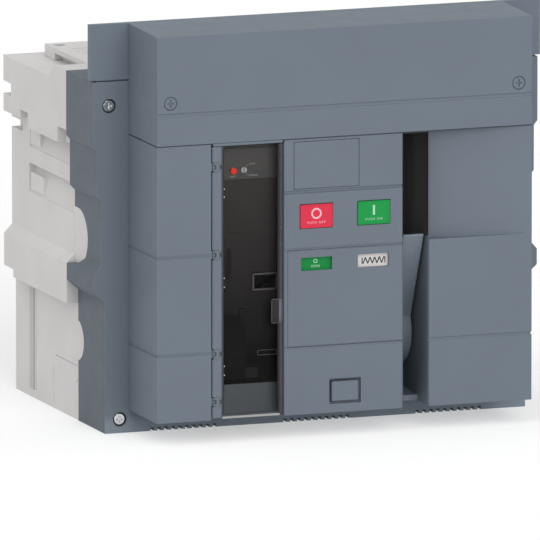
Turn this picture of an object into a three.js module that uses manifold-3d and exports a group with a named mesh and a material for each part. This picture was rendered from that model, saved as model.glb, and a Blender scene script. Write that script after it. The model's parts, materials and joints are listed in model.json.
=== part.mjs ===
// Three-pole air circuit breaker, fixed type, open and with its cover shut.
// Millimetres. X runs to the right, Y from the front to the rear, Z up.
// The origin is the middle of the bottom of the whole breaker.
import * as THREE from 'three';
import { mergeVertices } from 'three/addons/utils/BufferGeometryUtils.js';
import Module from 'manifold-3d';

const wasm = await Module();
wasm.setup();

// Clearances
const fit = 0.3;              // between neighbouring pieces
const buttonPlay = 0.5;       // round a button in its opening
const over = 2;               // how far a cut runs past the face it opens

// Whole breaker
const totalDepth = 308;
const totalHeight = 360;
const frontDepth = 74;        // hood front to flange
const baseDepth = 69;         // flange to rear housing
const poleSpacing = 123;
const flangeHalf = 205.7;     // half width of the flange at the top
const frontY = -totalDepth / 2;
const rearY = totalDepth / 2;
const flangeY = frontY + frontDepth;
const baseRearY = flangeY + baseDepth;
const poleXs = [-poleSpacing, 0, poleSpacing];
const poleNames = ['left', 'centre', 'right'];

// Front body
const fasciaHalf = 173;
const fasciaBottom = 20;
const hoodHeight = 97;
const hoodRise = 1.5;         // the hood's top climbs a little to the rear
const hoodSeam = 1;           // dark seam under the hood
const frontWall = 3;
const panelSetback = 0.5;     // panels stand this far behind the hood's front
const hoodBottom = totalHeight - hoodHeight;
const fasciaTop = hoodBottom - hoodSeam;
const panelY = frontY + panelSetback;
const fasciaRearY = flangeY - fit;
const centreLeft = -56.1;
const centreRight = 53;
const coverWidth = 64;
const coverSideGap = 1.8;     // left panel to cover
const coverCentreGap = 1.4;   // cover to centre panel
const pocketWidth = 24.5;
const coverRight = centreLeft - coverCentreGap;
const coverLeft = coverRight - coverWidth;
const leftPanelRight = coverLeft - coverSideGap;
const rightPanelLeft = centreRight + pocketWidth;
const grooveLevels = [79, 165];
const grooveHeight = 2.4;
const grooveDepth = 0.7;
const hoodBand = { low: hoodBottom + 25, high: hoodBottom + 28 };

// Base moulding and flange
const baseWall = 6;
const plateStandUp = 50.5;    // upper plate and its seam, above the base moulding
const baseTop = totalHeight - plateStandUp;
const lowerHalf = flangeHalf - 10.9;
const waistHalf = flangeHalf - 7.9;
const shoulderHalf = flangeHalf - 3.3;
const skirtHalf = flangeHalf - 0.3;
const cornerPillar = 30;
const openingHalf = fasciaHalf - 10;
const openingBottom = fasciaBottom + 7;
const openingTop = baseTop - 12;
const upperScrew = { x: 190.5, z: baseTop - 21.5 };
const lowerScrew = { x: 181, z: 12 };
const flangeScrew = { head: 9.6, recess: 12.7, headThick: 3.6, shank: 5.4, length: 22, sunk: 1.4 };
const hoodScrew = { head: 11, recess: 11.8, headThick: 2.6, shank: 5.4, length: 16, sunk: 0.2 };
const hoodScrewAt = { x: 160.5, z: hoodBottom + 37 };
const coverScrew = { head: 9.6, recess: 10.6, headThick: 2.4, shank: 4.4, length: 12, sunk: 0.6 };
const tooth = { pitch: 6.4, gap: 3.2, height: 3, depth: 9, count: 10 };
const toothGroupXs = [-122.5, 0.3, 123];
const lapTongues = [
  { z: 165, radius: 24.5, reach: 33, surface: waistHalf },
  { z: 71, radius: 18, reach: 14, surface: lowerHalf },
];
const tongueThick = 3.4;

// Rear housing
const housingWall = 8;
const partition = 5;
const housingFloor = 6;
const ceiling = 8;
const upperBlockBottom = baseTop - 66.5;
const shelfTop = baseTop - 11.5;
const housingFrontY = baseRearY + fit;
const cellRearY = rearY - housingWall;
const cellTop = shelfTop - ceiling;
const footHalf = lowerHalf - 0.3;
const midHalf = flangeHalf - 7.7;
const skirtBottom = 104;
const skirtTop = 139.8;
const recess = { low: 183.3, high: 209, rear: rearY - 46 };
const trough = { low: 223.5, rear: rearY - 48 };
const door = { rear: baseRearY + 66, top: 47.4 };
const ventOffsets = [92.5, 80, 68, 55];  // vent slots, forward of the rear
const topCover = { half: 174.4, top: baseTop - 0.5, front: baseRearY + 29, rear: rearY - 20 };
const rampFootY = topCover.front + 19;   // side shelves start behind a ramp

// Power path
const terminal = { half: 35, height: 59, pad: 10, barHalf: 30, barThick: 16, hole: 5.5, holeSpacing: 36 };
const upperTerminalZ = 215;
const lowerTerminalZ = 85;
const contactFaceY = rearY - 58;
const contactGap = 0.4;       // left between the contact faces when closed
const armPivot = { y: contactFaceY - 12, z: lowerTerminalZ };
const armReach = upperTerminalZ + 10 - lowerTerminalZ;
const armOpenAngle = 25;      // degrees forward of the closed arm
const armThick = 12;
const armHalf = terminal.barHalf - 3;
const armPinUp = 75;          // arm pivot up to the link pin
const armPinForward = 16;     // and forward to it
const shaftAxis = { y: baseRearY - 23, z: 110 };
const leverLength = 45;
const leverOpenAngle = 5;     // degrees forward of upright
const pinRadius = 3;
const linkHalf = 4;
const linkEye = 8;
const openEyeBore = 5.2;      // free end, opened so that the linkage stays a tree
const openEyeSlide = 3.5;
const cheekThick = 4;
const shaftRadius = 9;
const transformer = { half: poleSpacing / 2 - partition / 2 - 9, height: 66, depth: 32 };
const chute = {
  half: poleSpacing / 2 - partition / 2 - 21, front: rearY - 98, rear: rearY - 21, bottom: 240,
  plates: 8, slot: 5,
};

// Mechanism
const plateX = 46;
const plateThick = 3;
const plateBottom = 60;
const plateTop = 232;
const plateFrontY = flangeY - 30;
const bayRearY = baseRearY - baseWall - fit;
const camAxis = { y: shaftAxis.y - 48, z: shaftAxis.z + 50 };
const camRadius = 7;
const ratchet = { radius: 27, teeth: 16, depth: 4, width: 6 };
const hubRadius = 33;
const hubClear = 5;           // hub to the rear of its pocket, and pocket to the pole shaft
const handleAxis = { y: shaftAxis.y - shaftRadius - 2 * hubClear - hubRadius, z: fasciaBottom + 60 };
const handleTip = { y: frontY + 6, z: handleAxis.z + 85 };
const handleThick = 17;
const handleShaftRadius = 8;
const spring = { outer: 15, inner: 9, turns: 8, length: 38, bottom: 190, flute: 1.6 };

// Controls on the centre panel
const button = { width: 29.6, height: 20.5, x: 26.5, z: 194, depth: 30 };
const flag = { width: 28.6, height: 11.6, x: 26.2, z: 151.9, thick: 2, margin: 1.2 };
const blankPlate = { left: -46.9, right: 12.8, bottom: fasciaTop - 43.6, top: fasciaTop - 2.4, thick: 2 };
const tab = {
  half: 12.6, bottom: fasciaBottom + 9.6, top: fasciaBottom + 27.9, depth: 38, rim: 2, sleeve: 2.5,
  hole: 4,
};

// Trip unit
const tripSideGap = { left: 0.8, right: 0.8 };
const tripFaceY = frontY + 12;
const tripRearY = flangeY + 16;
const tripUnit = {
  bottom: fasciaBottom + 2, top: fasciaTop - 2.5, upperPlate: fasciaTop - 34, lowerPlate: 51,
};
const tripLeft = coverLeft + tripSideGap.left;
const tripRight = coverRight - tripSideGap.right;
const display = { left: tripRight - 22.4, bottom: 129.6, top: 144.8, proud: 1.2, sunk: 4 };
const resetButton = { x: coverLeft + 22.4, z: fasciaTop - 26.1, radius: 3 };
const selector = { x: coverLeft + 32.5, z: fasciaTop - 25.8, radius: 2.6 };
const portPlug = { x: coverLeft + 31.6, z: 110.6, radius: 3.6 };

// Cover
const hingeStripWidth = 7.9;
const coverThick = 2.6;
const coverRim = 6;
const coverBottom = fasciaBottom + 1.7;
const coverTop = fasciaTop - 2.3;
const hingeX = coverLeft + 2;
const hingeY = panelY + 2.5;
const hingePinRadius = 1.1;
const knuckleLevels = [36, 78, 165, fasciaTop - 20];
const knuckleHeight = 7;
const fingerGripZ = 116.5;

const finish = {
  front: () => new THREE.MeshStandardMaterial({ color: 0x717c86, roughness: 0.5, metalness: 0 }),
  dark: () => new THREE.MeshStandardMaterial({ color: 0x68727c, roughness: 0.5, metalness: 0 }),
  pale: () => new THREE.MeshStandardMaterial({ color: 0xd4d2d1, roughness: 0.6, metalness: 0 }),
  black: () => new THREE.MeshStandardMaterial({ color: 0x211e1c, roughness: 0.5, metalness: 0 }),
  clear: () => new THREE.MeshStandardMaterial({ color: 0x55504c, roughness: 0.1, metalness: 0 }),
  red: () => new THREE.MeshStandardMaterial({ color: 0xe23b52, roughness: 0.4, metalness: 0 }),
  green: () => new THREE.MeshStandardMaterial({ color: 0x249e4f, roughness: 0.4, metalness: 0 }),
  white: () => new THREE.MeshStandardMaterial({ color: 0xe6e2df, roughness: 0.5, metalness: 0 }),
  copper: () => new THREE.MeshStandardMaterial({ color: 0xc9c6c0, roughness: 0.3, metalness: 1 }),
  steel: () => new THREE.MeshStandardMaterial({ color: 0x9a9da0, roughness: 0.4, metalness: 1 }),
  chrome: () => new THREE.MeshStandardMaterial({ color: 0xd8dadc, roughness: 0.15, metalness: 1 }),
  coil: () => new THREE.MeshStandardMaterial({ color: 0x8a5a2b, roughness: 0.5, metalness: 0 }),
};

// Solids: every shape is a closed three.js geometry turned into a solid that can be cut and joined

function toSolid(geometry) {
  const bare = geometry.clone();
  bare.deleteAttribute('normal');
  bare.deleteAttribute('uv');
  const merged = mergeVertices(bare, 1e-4);
  const mesh = new wasm.Mesh({
    numProp: 3,
    vertProperties: new Float32Array(merged.attributes.position.array),
    triVerts: new Uint32Array(merged.index.array),
  });
  return new wasm.Manifold(mesh);
}

function toGeometry(solid) {
  const mesh = solid.getMesh();
  const geometry = new THREE.BufferGeometry();
  geometry.setAttribute('position', new THREE.BufferAttribute(new Float32Array(mesh.vertProperties), 3));
  geometry.setIndex(new THREE.BufferAttribute(new Uint32Array(mesh.triVerts), 1));
  return geometry;
}

function block(x0, x1, y0, y1, z0, z1) {
  const geometry = new THREE.BoxGeometry(x1 - x0, y1 - y0, z1 - z0);
  geometry.translate((x0 + x1) / 2, (y0 + y1) / 2, (z0 + z1) / 2);
  return toSolid(geometry);
}

function outline(points) {
  return new THREE.Shape(points.map(([a, b]) => new THREE.Vector2(a, b)));
}

function extrude(shape, length) {
  return new THREE.ExtrudeGeometry(shape, { depth: length, bevelEnabled: false, curveSegments: 8 });
}

// Outline in X and Z, pushed along Y
function alongY(shape, y0, y1) {
  const geometry = extrude(shape, y1 - y0);
  geometry.rotateX(Math.PI / 2);
  geometry.translate(0, y1, 0);
  return toSolid(geometry);
}

// Outline in Y and Z, pushed along X
function alongX(shape, x0, x1) {
  const geometry = extrude(shape, x1 - x0);
  const turn = new THREE.Matrix4().makeBasis(
    new THREE.Vector3(0, 1, 0),
    new THREE.Vector3(0, 0, 1),
    new THREE.Vector3(1, 0, 0),
  );
  geometry.applyMatrix4(turn);
  geometry.translate(x0, 0, 0);
  return toSolid(geometry);
}

// Outline in X and Y, pushed along Z
function alongZ(shape, z0, z1) {
  const geometry = extrude(shape, z1 - z0);
  geometry.translate(0, 0, z0);
  return toSolid(geometry);
}

function rodX(radius, x0, x1, y, z, sideCount = 24) {
  const geometry = new THREE.CylinderGeometry(radius, radius, x1 - x0, sideCount);
  geometry.rotateZ(Math.PI / 2);
  geometry.translate((x0 + x1) / 2, y, z);
  return toSolid(geometry);
}

function rodY(radius, y0, y1, x, z, sideCount = 24) {
  const geometry = new THREE.CylinderGeometry(radius, radius, y1 - y0, sideCount);
  geometry.translate(x, (y0 + y1) / 2, z);
  return toSolid(geometry);
}

function rodZ(radius, z0, z1, x, y, sideCount = 24) {
  const geometry = new THREE.CylinderGeometry(radius, radius, z1 - z0, sideCount);
  geometry.rotateX(Math.PI / 2);
  geometry.translate(x, y, (z0 + z1) / 2);
  return toSolid(geometry);
}

function join(...solids) {
  return solids.reduce((whole, next) => whole.add(next));
}

function cut(whole, ...tools) {
  return tools.reduce((left, tool) => left.subtract(tool), whole);
}

function mirrorPoints(half) {
  return [...half, ...half.map(([a, b]) => [-a, b]).reverse()];
}

const breaker = new THREE.Group();

// A piece is modelled in the breaker's frame and kept about its own place
function addPiece(name, solid, material, place = [0, 0, 0], parent = breaker) {
  const geometry = toGeometry(solid);
  const mesh = new THREE.Mesh(geometry, material);
  mesh.name = name;
  geometry.translate(-place[0], -place[1], -place[2]);
  mesh.position.set(...place);
  parent.add(mesh);
  return mesh;
}

// A point at a distance from a pivot, leaning forward of upright by an angle in degrees
function leaning(pivot, distance, degrees) {
  const angle = THREE.MathUtils.degToRad(degrees);
  return { y: pivot.y - distance * Math.sin(angle), z: pivot.z + distance * Math.cos(angle) };
}

// Base moulding: the flange that bolts to the cubicle, with the mechanism bay behind it

function flangeOutline() {
  const half = [
    [lowerHalf, 0], [lowerHalf, 116], [skirtHalf, 125.5], [skirtHalf, 139.5],
    [waistHalf, 148], [waistHalf, 204], [shoulderHalf, 209],
    [shoulderHalf, upperBlockBottom + 6], [flangeHalf, upperBlockBottom + 10], [flangeHalf, baseTop],
  ];
  return outline(mirrorPoints(half));
}

function screwRecess(kind, faceY, x, z) {
  const seatY = faceY + kind.sunk + kind.headThick + fit;
  return join(
    rodY(kind.recess / 2, faceY - over, seatY, x, z),
    rodY(kind.shank / 2 + fit, seatY - fit, seatY + kind.length + fit, x, z, 10),
  );
}

function screw(kind, faceY, x, z) {
  const headY = faceY + kind.sunk;
  const seatY = headY + kind.headThick;
  const slot = kind.head * 0.28;
  const blade = kind.head * 0.06;
  const body = join(
    rodY(kind.head / 2, headY, seatY, x, z),
    rodY(kind.shank / 2, seatY - fit, seatY + kind.length, x, z, 10),
  );
  return cut(
    body,
    block(x - slot, x + slot, headY - over, headY + kind.headThick / 2, z - blade, z + blade),
    block(x - blade, x + blade, headY - over, headY + kind.headThick / 2, z - slot, z + slot),
  );
}

const flangeScrewPlaces = [
  ['flange_screw_upper_left', -upperScrew.x, upperScrew.z],
  ['flange_screw_upper_right', upperScrew.x, upperScrew.z],
  ['flange_screw_lower_left', -lowerScrew.x, lowerScrew.z],
  ['flange_screw_lower_right', lowerScrew.x, lowerScrew.z],
];

function bayCavity() {
  const half = lowerHalf - baseWall;
  const cavity = block(
    -half, half, flangeY + baseWall, baseRearY - baseWall, baseWall, baseTop - baseWall,
  );
  const pillars = flangeScrewPlaces.map(([, x, z]) => {
    const inner = Math.sign(x) * (Math.abs(x) - cornerPillar / 2);
    const outer = Math.sign(x) * (flangeHalf + over);
    return block(
      Math.min(inner, outer), Math.max(inner, outer),
      flangeY, flangeY + cornerPillar + over,
      Math.max(z - cornerPillar / 2, -over), Math.min(z + cornerPillar / 2, baseTop + over),
    );
  });
  return cut(cavity, ...pillars);
}

function toothNotches() {
  const notches = [];
  for (const shift of toothGroupXs) {
    for (let i = 0; i < tooth.count; i += 1) {
      const x = shift + (i - (tooth.count - 1) / 2) * tooth.pitch;
      notches.push(block(
        x - tooth.gap / 2, x + tooth.gap / 2, flangeY - over, flangeY + tooth.depth, -over,
        tooth.height,
      ));
    }
  }
  return notches;
}

// Rounded tongues of the rear housing lap into the sides of the base moulding
function lapTongue(lap, side, grow, innerX, outerX) {
  const centreY = baseRearY - lap.reach + lap.radius;
  const startY = Math.max(centreY, baseRearY) + 3;
  const radius = lap.radius + grow;
  const shape = new THREE.Shape();
  shape.moveTo(startY, lap.z + radius);
  shape.lineTo(centreY, lap.z + radius);
  shape.absarc(centreY, lap.z, radius, Math.PI / 2, 1.5 * Math.PI, false);
  shape.lineTo(startY, lap.z - radius);
  return alongX(shape, Math.min(side * innerX, side * outerX), Math.max(side * innerX, side * outerX));
}

function baseMoulding() {
  const outer = alongY(flangeOutline(), flangeY, baseRearY);
  const opening = block(
    -openingHalf, openingHalf, flangeY - over, flangeY + baseWall + over, openingBottom, openingTop,
  );
  const slots = poleXs.map((x) => (
    block(
      x - 13, x + 13, baseRearY - baseWall - over, baseRearY + over, shaftAxis.z - 2,
      shaftAxis.z + 74,
    )));
  const recesses = flangeScrewPlaces.map(([, x, z]) => screwRecess(flangeScrew, flangeY, x, z));
  const laps = [-1, 1].flatMap((side) => lapTongues.map((lap) => (
    lapTongue(lap, side, fit, lap.surface - tongueThick - 2 * fit, flangeHalf + over))));
  const ribs = [tripLeft + 18.7, tripLeft + 40.7].map((x) => (
    block(x, x + 4, tripRearY + fit, baseRearY - baseWall + 1, 190, 232)));
  const body = cut(outer, bayCavity(), opening, ...slots, ...recesses, ...laps, ...toothNotches());
  return join(body, ...ribs);
}

function upperPlate() {
  const half = flangeHalf + 2.3;
  const bottom = baseTop + 1.5;
  const front = block(-half, half, flangeY, flangeY + 6.4, bottom, totalHeight);
  const foot = block(-half + 6, half - 6, flangeY + 1.6, flangeY + 22, baseTop + fit, baseTop + fit + 4);
  return join(front, foot);
}

// Hood

function hood() {
  const outer = outline([
    [frontY, hoodBottom], [frontY, totalHeight - hoodRise], [fasciaRearY, totalHeight],
    [fasciaRearY, hoodBottom],
  ]);
  const inner = outline([
    [frontY + frontWall, hoodBottom + frontWall],
    [frontY + frontWall, totalHeight - hoodRise - frontWall],
    [fasciaRearY + over, totalHeight - frontWall], [fasciaRearY + over, hoodBottom + frontWall],
  ]);
  const shell = cut(
    alongX(outer, -fasciaHalf, fasciaHalf),
    alongX(inner, -fasciaHalf + frontWall, fasciaHalf - frontWall),
    block(
      -fasciaHalf - over, fasciaHalf + over, frontY - over, frontY + grooveDepth, hoodBand.low,
      hoodBand.high,
    ),
  );
  const bosses = [-1, 1].map((side) => (
    rodY(9, frontY + 1, fasciaRearY, side * hoodScrewAt.x, hoodScrewAt.z, 20)));
  const recesses = [-1, 1].map((side) => screwRecess(
    hoodScrew, frontY, side * hoodScrewAt.x, hoodScrewAt.z,
  ));
  return cut(join(shell, ...bosses), ...recesses);
}

// Fascia panels: shells open to the rear, standing on the flange

function panelShell(x0, x1, z0, z1) {
  return cut(
    block(x0, x1, panelY, fasciaRearY, z0, z1),
    block(
      x0 + frontWall, x1 - frontWall, panelY + frontWall, fasciaRearY + over, z0 + frontWall,
      z1 - frontWall,
    ),
  );
}

function frontGroove(x0, x1, z, height = grooveHeight) {
  return block(x0, x1, panelY - over, panelY + grooveDepth, z - height / 2, z + height / 2);
}

function leftPanel() {
  const shell = panelShell(-fasciaHalf, leftPanelRight, fasciaBottom, fasciaTop);
  const grooves = grooveLevels.flatMap((z) => [
    frontGroove(-fasciaHalf - over, leftPanelRight + over, z),
    block(
      -fasciaHalf - over, -fasciaHalf + grooveDepth, panelY - over, fasciaRearY + over,
      z - grooveHeight / 2, z + grooveHeight / 2,
    ),
  ]);
    const lugs = knuckleLevels.map((z) => join(
    block(
      leftPanelRight - 1, hingeX, hingeY - 1, hingeY + 3, z - knuckleHeight / 2,
      z + knuckleHeight / 2,
    ),
    rodZ(hingePinRadius + 1.5, z - knuckleHeight / 2, z + knuckleHeight / 2, hingeX, hingeY, 16),
  ));
  const pinBore = rodZ(hingePinRadius + fit, fasciaBottom, fasciaTop, hingeX, hingeY, 12);
  return cut(join(cut(shell, ...grooves), ...lugs), pinBore);
}

function hingePin() {
  const first = knuckleLevels[0] - knuckleHeight / 2 - 6;
  const last = knuckleLevels[knuckleLevels.length - 1] + knuckleHeight / 2 + 6;
  return rodZ(hingePinRadius, first, last, hingeX, hingeY, 12);
}

function coverStrip() {
    const strip = block(
      coverLeft, coverLeft + hingeStripWidth, panelY, panelY + 5.4, coverBottom, coverTop,
    );
  const notches = knuckleLevels.map((z) => (
    block(
      coverLeft - over, hingeX + hingePinRadius + 2.6, panelY - over, panelY + 8,
      z - knuckleHeight / 2 - 0.8, z + knuckleHeight / 2 + 0.8,
    )));
  const bore = rodZ(hingePinRadius + fit, coverBottom - over, coverTop + over, hingeX, hingeY, 12);
  return cut(strip, ...notches, bore);
}

function coverWindow() {
  const left = coverLeft + hingeStripWidth + fit;
  const tray = cut(
    block(left, coverRight, panelY, panelY + coverRim, coverBottom, coverTop),
    block(
      left + coverThick, coverRight - coverThick, panelY + coverThick, panelY + coverRim + over,
      coverBottom + coverThick, coverTop - coverThick,
    ),
  );
  const grip = new THREE.Shape();
  grip.moveTo(coverRight + over, fingerGripZ - 10.5);
  grip.lineTo(coverRight - 5, fingerGripZ - 10.5);
  grip.absarc(coverRight - 5, fingerGripZ - 5.5, 5, -Math.PI / 2, -Math.PI, true);
  grip.absarc(coverRight - 5, fingerGripZ + 5.5, 5, Math.PI, Math.PI / 2, true);
  grip.lineTo(coverRight + over, fingerGripZ + 10.5);
  return cut(tray, alongY(grip, panelY - over, panelY + 1.2));
}

function centrePanel() {
  const left = centreLeft;
  const right = centreRight;
  const shell = panelShell(left, right, fasciaBottom, fasciaTop);
  const buttonHoles = [-1, 1].map((side) => {
    const x = side * button.x;
    return block(
      x - button.width / 2 - buttonPlay, x + button.width / 2 + buttonPlay, panelY - over,
      panelY + frontWall + over,
      button.z - button.height / 2 - buttonPlay, button.z + button.height / 2 + buttonPlay,
    );
  });
  const flagWindows = [-1, 1].map((side) => {
    const x = side * flag.x;
    return block(
      x - flag.width / 2, x + flag.width / 2, panelY - over, panelY + frontWall + over,
      flag.z - flag.height / 2, flag.z + flag.height / 2,
    );
  });
  const plateSeat = block(
    blankPlate.left - fit, blankPlate.right + fit, panelY - over, panelY + blankPlate.thick + fit,
    blankPlate.bottom - fit, blankPlate.top + fit,
  );
  const grooves = [
    ...grooveLevels.map((z) => frontGroove(left - over, right + over, z)),
    frontGroove(left - over, right + over, 216.5, 0.8),
    frontGroove(left - over, right + over, 214.6, 0.8),
  ];
  const sleeve = tab.sleeve + fit;
  const tunnel = block(
    -tab.half - sleeve, tab.half + sleeve, panelY + 1, panelY + tab.depth,
    tab.bottom - sleeve, tab.top + sleeve,
  );
  const tabBore = block(
    -tab.half - fit, tab.half + fit, panelY - over, panelY + tab.depth + over,
    tab.bottom - fit, tab.top + fit,
  );
  const tabMouth = block(
    -tab.half - tab.rim, tab.half + tab.rim, panelY - over, panelY + frontWall,
    tab.bottom - tab.rim, tab.top + tab.rim,
  );
  const shaftHole = rodX(
    handleShaftRadius + 1, right - frontWall - over, right + over, handleAxis.y, handleAxis.z,
  );
  const fronts = cut(shell, ...buttonHoles, ...flagWindows, plateSeat, ...grooves, shaftHole);
  return cut(join(fronts, tunnel), tabBore, tabMouth);
}

function blankOptionPlate() {
  return block(
    blankPlate.left, blankPlate.right, panelY, panelY + blankPlate.thick, blankPlate.bottom,
    blankPlate.top,
  );
}

// The upper half slopes back towards the handle so that a hand can reach it
function rightPanel() {
  const setBack = 14;
  const ledge = 167;
  const left = rightPanelLeft;
  const right = fasciaHalf;
  const plan = (grow, back) => outline([
    [left + grow, panelY + setBack + grow], [right - grow, panelY + grow * 1.2],
    [right - grow, fasciaRearY + back], [left + grow, fasciaRearY + back],
  ]);
  const lower = block(left, right, panelY, fasciaRearY, fasciaBottom, ledge);
  const upper = alongZ(plan(0, 0), ledge - 1, fasciaTop);
  const lowerHollow = block(
    left + frontWall, right - frontWall, panelY + frontWall, fasciaRearY + over,
    fasciaBottom + frontWall, ledge - frontWall,
  );
  const upperHollow = alongZ(plan(frontWall, over), ledge - frontWall - 1, fasciaTop - frontWall);
  const sideGroove = block(
    right - grooveDepth, right + over, panelY - over, fasciaRearY + over,
    grooveLevels[0] - grooveHeight / 2, grooveLevels[0] + grooveHeight / 2,
  );
  return cut(
    join(lower, upper), lowerHollow, upperHollow,
    frontGroove(left - over, right + over, grooveLevels[0]), sideGroove,
  );
}

// Handle pocket: a liner open to the front, with its floor rising to the rear
const linerLeft = centreRight + fit;
const linerRight = rightPanelLeft - fit;
const linerWall = 2;
const linerRearY = handleAxis.y + hubRadius + 5;

function handlePocket() {
  const outer = outline([
    [panelY + 0.6, fasciaBottom + 1.2], [panelY + 37, fasciaBottom + 8.2],
    [linerRearY, fasciaBottom + 10.7],
    [linerRearY, fasciaTop - fit], [panelY + 0.6, fasciaTop - fit],
  ]);
  const inner = outline([
    [panelY - over, fasciaBottom + 3.2], [panelY + 37, fasciaBottom + 10.4],
    [linerRearY - linerWall, fasciaBottom + 12.9],
    [linerRearY - linerWall, fasciaTop - fit - linerWall], [panelY - over, fasciaTop - fit - linerWall],
  ]);
  return cut(
    alongX(outer, linerLeft, linerRight),
    alongX(inner, linerLeft + linerWall, linerRight - linerWall),
    rodX(
      handleShaftRadius + fit, linerLeft - over, linerLeft + linerWall + over, handleAxis.y,
      handleAxis.z,
    ),
  );
}

const handleLeft = linerLeft + linerWall + 1.3;
const handleRight = linerRight - linerWall - 1.3;

// Charging handle: a round hub and an arm that leans forward to its grip
function chargingHandle() {
  const dy = handleTip.y - handleAxis.y;
  const dz = handleTip.z - handleAxis.z;
  const reach = Math.hypot(dy, dz);
  const along = { y: dy / reach, z: dz / reach };
  const across = { y: along.z, z: -along.y };
  const hub = rodX(hubRadius, handleLeft, handleRight, handleAxis.y, handleAxis.z, 40);
  const rootFront = [
    handleAxis.y - across.y * (hubRadius - 1), handleAxis.z - across.z * (hubRadius - 1),
  ];
  const tipBack = [handleTip.y + across.y * handleThick, handleTip.z + across.z * handleThick];
  const tipTop = [
    handleTip.y + along.y * 7 + across.y * handleThick / 2,
    handleTip.z + along.z * 7 + across.z * handleThick / 2,
  ];
  const rootBack = [handleAxis.y + across.y * (hubRadius - 1), handleAxis.z + across.z * (hubRadius - 1)];
  const arm = outline([rootFront, [handleTip.y, handleTip.z], tipTop, tipBack, rootBack]);
  return cut(
    join(hub, alongX(arm, handleLeft, handleRight)),
    rodX(handleShaftRadius + fit, handleLeft - over, handleRight - 4, handleAxis.y, handleAxis.z),
  );
}

function handleShaft() {
  return rodX(handleShaftRadius, plateX - 6, handleRight - 5, handleAxis.y, handleAxis.z);
}

// Controls

function pushButton(side) {
  const x = side * button.x;
  const cap = block(
    x - button.width / 2, x + button.width / 2, frontY, frontY + button.depth,
    button.z - button.height / 2, button.z + button.height / 2,
  );
  const stem = rodY(5, frontY + button.depth - 1, frontY + button.depth + 8, x, button.z, 16);
  return join(cap, stem);
}

// An indicator flag slides down behind its window to show its other half
function indicatorFlag(side) {
  const x = side * flag.x;
  const y = panelY + frontWall + fit;
  const low = flag.z - flag.height / 2 - flag.margin;
  return block(
    x - flag.width / 2 - flag.margin, x + flag.width / 2 + flag.margin, y, y + flag.thick,
    low, low + 2 * (flag.height + flag.margin),
  );
}

function padlockTab() {
  const body = block(-tab.half, tab.half, panelY, panelY + tab.depth - 1, tab.bottom, tab.top);
  const middle = (tab.bottom + tab.top) / 2;
  return cut(body, rodX(tab.hole, -tab.half - over, tab.half + over, panelY + 12, middle, 20));
}

// Trip unit

function tripCase() {
  const left = tripLeft;
  const right = tripRight;
  const body = join(
    block(left, right, tripFaceY, flangeY - 1, tripUnit.bottom, tripUnit.top),
    block(left + 2, right - 2, flangeY - 2, tripRearY, openingBottom + 3, tripUnit.top - 8),
  );
  const darkStep = block(
    left - over, right + over, tripFaceY - over, tripFaceY + 1.5, tripUnit.lowerPlate,
    tripUnit.upperPlate,
  );
  const displaySeat = block(
    display.left - fit, right + over, tripFaceY - over, tripFaceY + display.sunk + fit,
    display.bottom - fit, display.top + fit,
  );
  const resetBore = rodY(
    resetButton.radius + fit, tripFaceY - over, tripFaceY + 14, resetButton.x, resetButton.z, 20,
  );
  const selectorBore = rodY(
    selector.radius + fit, tripFaceY - over, tripFaceY + 8, selector.x, selector.z, 20,
  );
  const plugBore = rodY(
    portPlug.radius + fit, tripFaceY - over, tripFaceY + 8, portPlug.x, portPlug.z, 20,
  );
  return cut(body, darkStep, displaySeat, resetBore, selectorBore, plugBore);
}

function tripDisplay() {
  const right = tripRight;
  return block(
    display.left, right, tripFaceY + 1.5 - display.proud, tripFaceY + display.sunk, display.bottom,
    display.top,
  );
}

function resetPush() {
  return rodY(resetButton.radius, tripFaceY - 2.6, tripFaceY + 11, resetButton.x, resetButton.z, 20);
}

function roundSlotted(radius, x, z, proud) {
  return cut(
    rodY(radius, tripFaceY - proud, tripFaceY + 7.6, x, z, 20),
    block(
      x - 0.5, x + 0.5, tripFaceY - proud - over, tripFaceY - proud + 0.9, z - radius - over,
      z + radius + over,
    ),
  );
}

// Rear housing with three pole cells

function housingOutline() {
  const half = [
    [footHalf, 0], [footHalf, skirtBottom], [skirtHalf, skirtBottom], [skirtHalf, skirtTop],
    [midHalf, skirtTop + 7.7], [midHalf, upperBlockBottom], [flangeHalf, upperBlockBottom],
    [flangeHalf, baseTop],
  ];
  return outline(mirrorPoints(half));
}

function cellBounds(i) {
  const wall = lowerHalf - housingWall;
  const low = i === 0 ? -wall : poleXs[i] - poleSpacing / 2 + partition / 2;
  const high = i === 2 ? wall : poleXs[i] + poleSpacing / 2 - partition / 2;
  return [low, high];
}

function cellCavities() {
  return poleXs.flatMap((x, i) => {
    const [low, high] = cellBounds(i);
    return [
      block(low, high, housingFrontY - over, cellRearY, housingFloor, cellTop),
      block(
        x - chute.half - fit, x + chute.half + fit, chute.front - fit, chute.rear + fit,
        cellTop - over, baseTop + over,
      ),
    ];
  });
}

function terminalWindows() {
  const half = terminal.half + fit;
  const height = terminal.height / 2 + fit;
  return poleXs.flatMap((x) => [upperTerminalZ, lowerTerminalZ].map((z) => (
    block(x - half, x + half, cellRearY - over, rearY + over, z - height, z + height))));
}

// A box sunk into a flank from outside, to a depth below the surface at the given half width
function sunkBox(side, surfaceHalf, depth, y0, y1, z0, z1) {
  const inner = side * (surfaceHalf - depth);
  const outer = side * (flangeHalf + over);
  return block(Math.min(inner, outer), Math.max(inner, outer), y0, y1, z0, z1);
}

// A recess along the flank whose floor leans outwards from its top edge to its lower edge
function leaningRecess(side, topDepth, lowZ, highZ, rearEnd) {
  const shape = outline([
    [side * (midHalf - topDepth), highZ], [side * (midHalf - 1), lowZ],
    [side * (flangeHalf + over), lowZ],
    [side * (flangeHalf + over), highZ],
  ]);
  return alongY(shape, housingFrontY - over, rearEnd);
}

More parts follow.
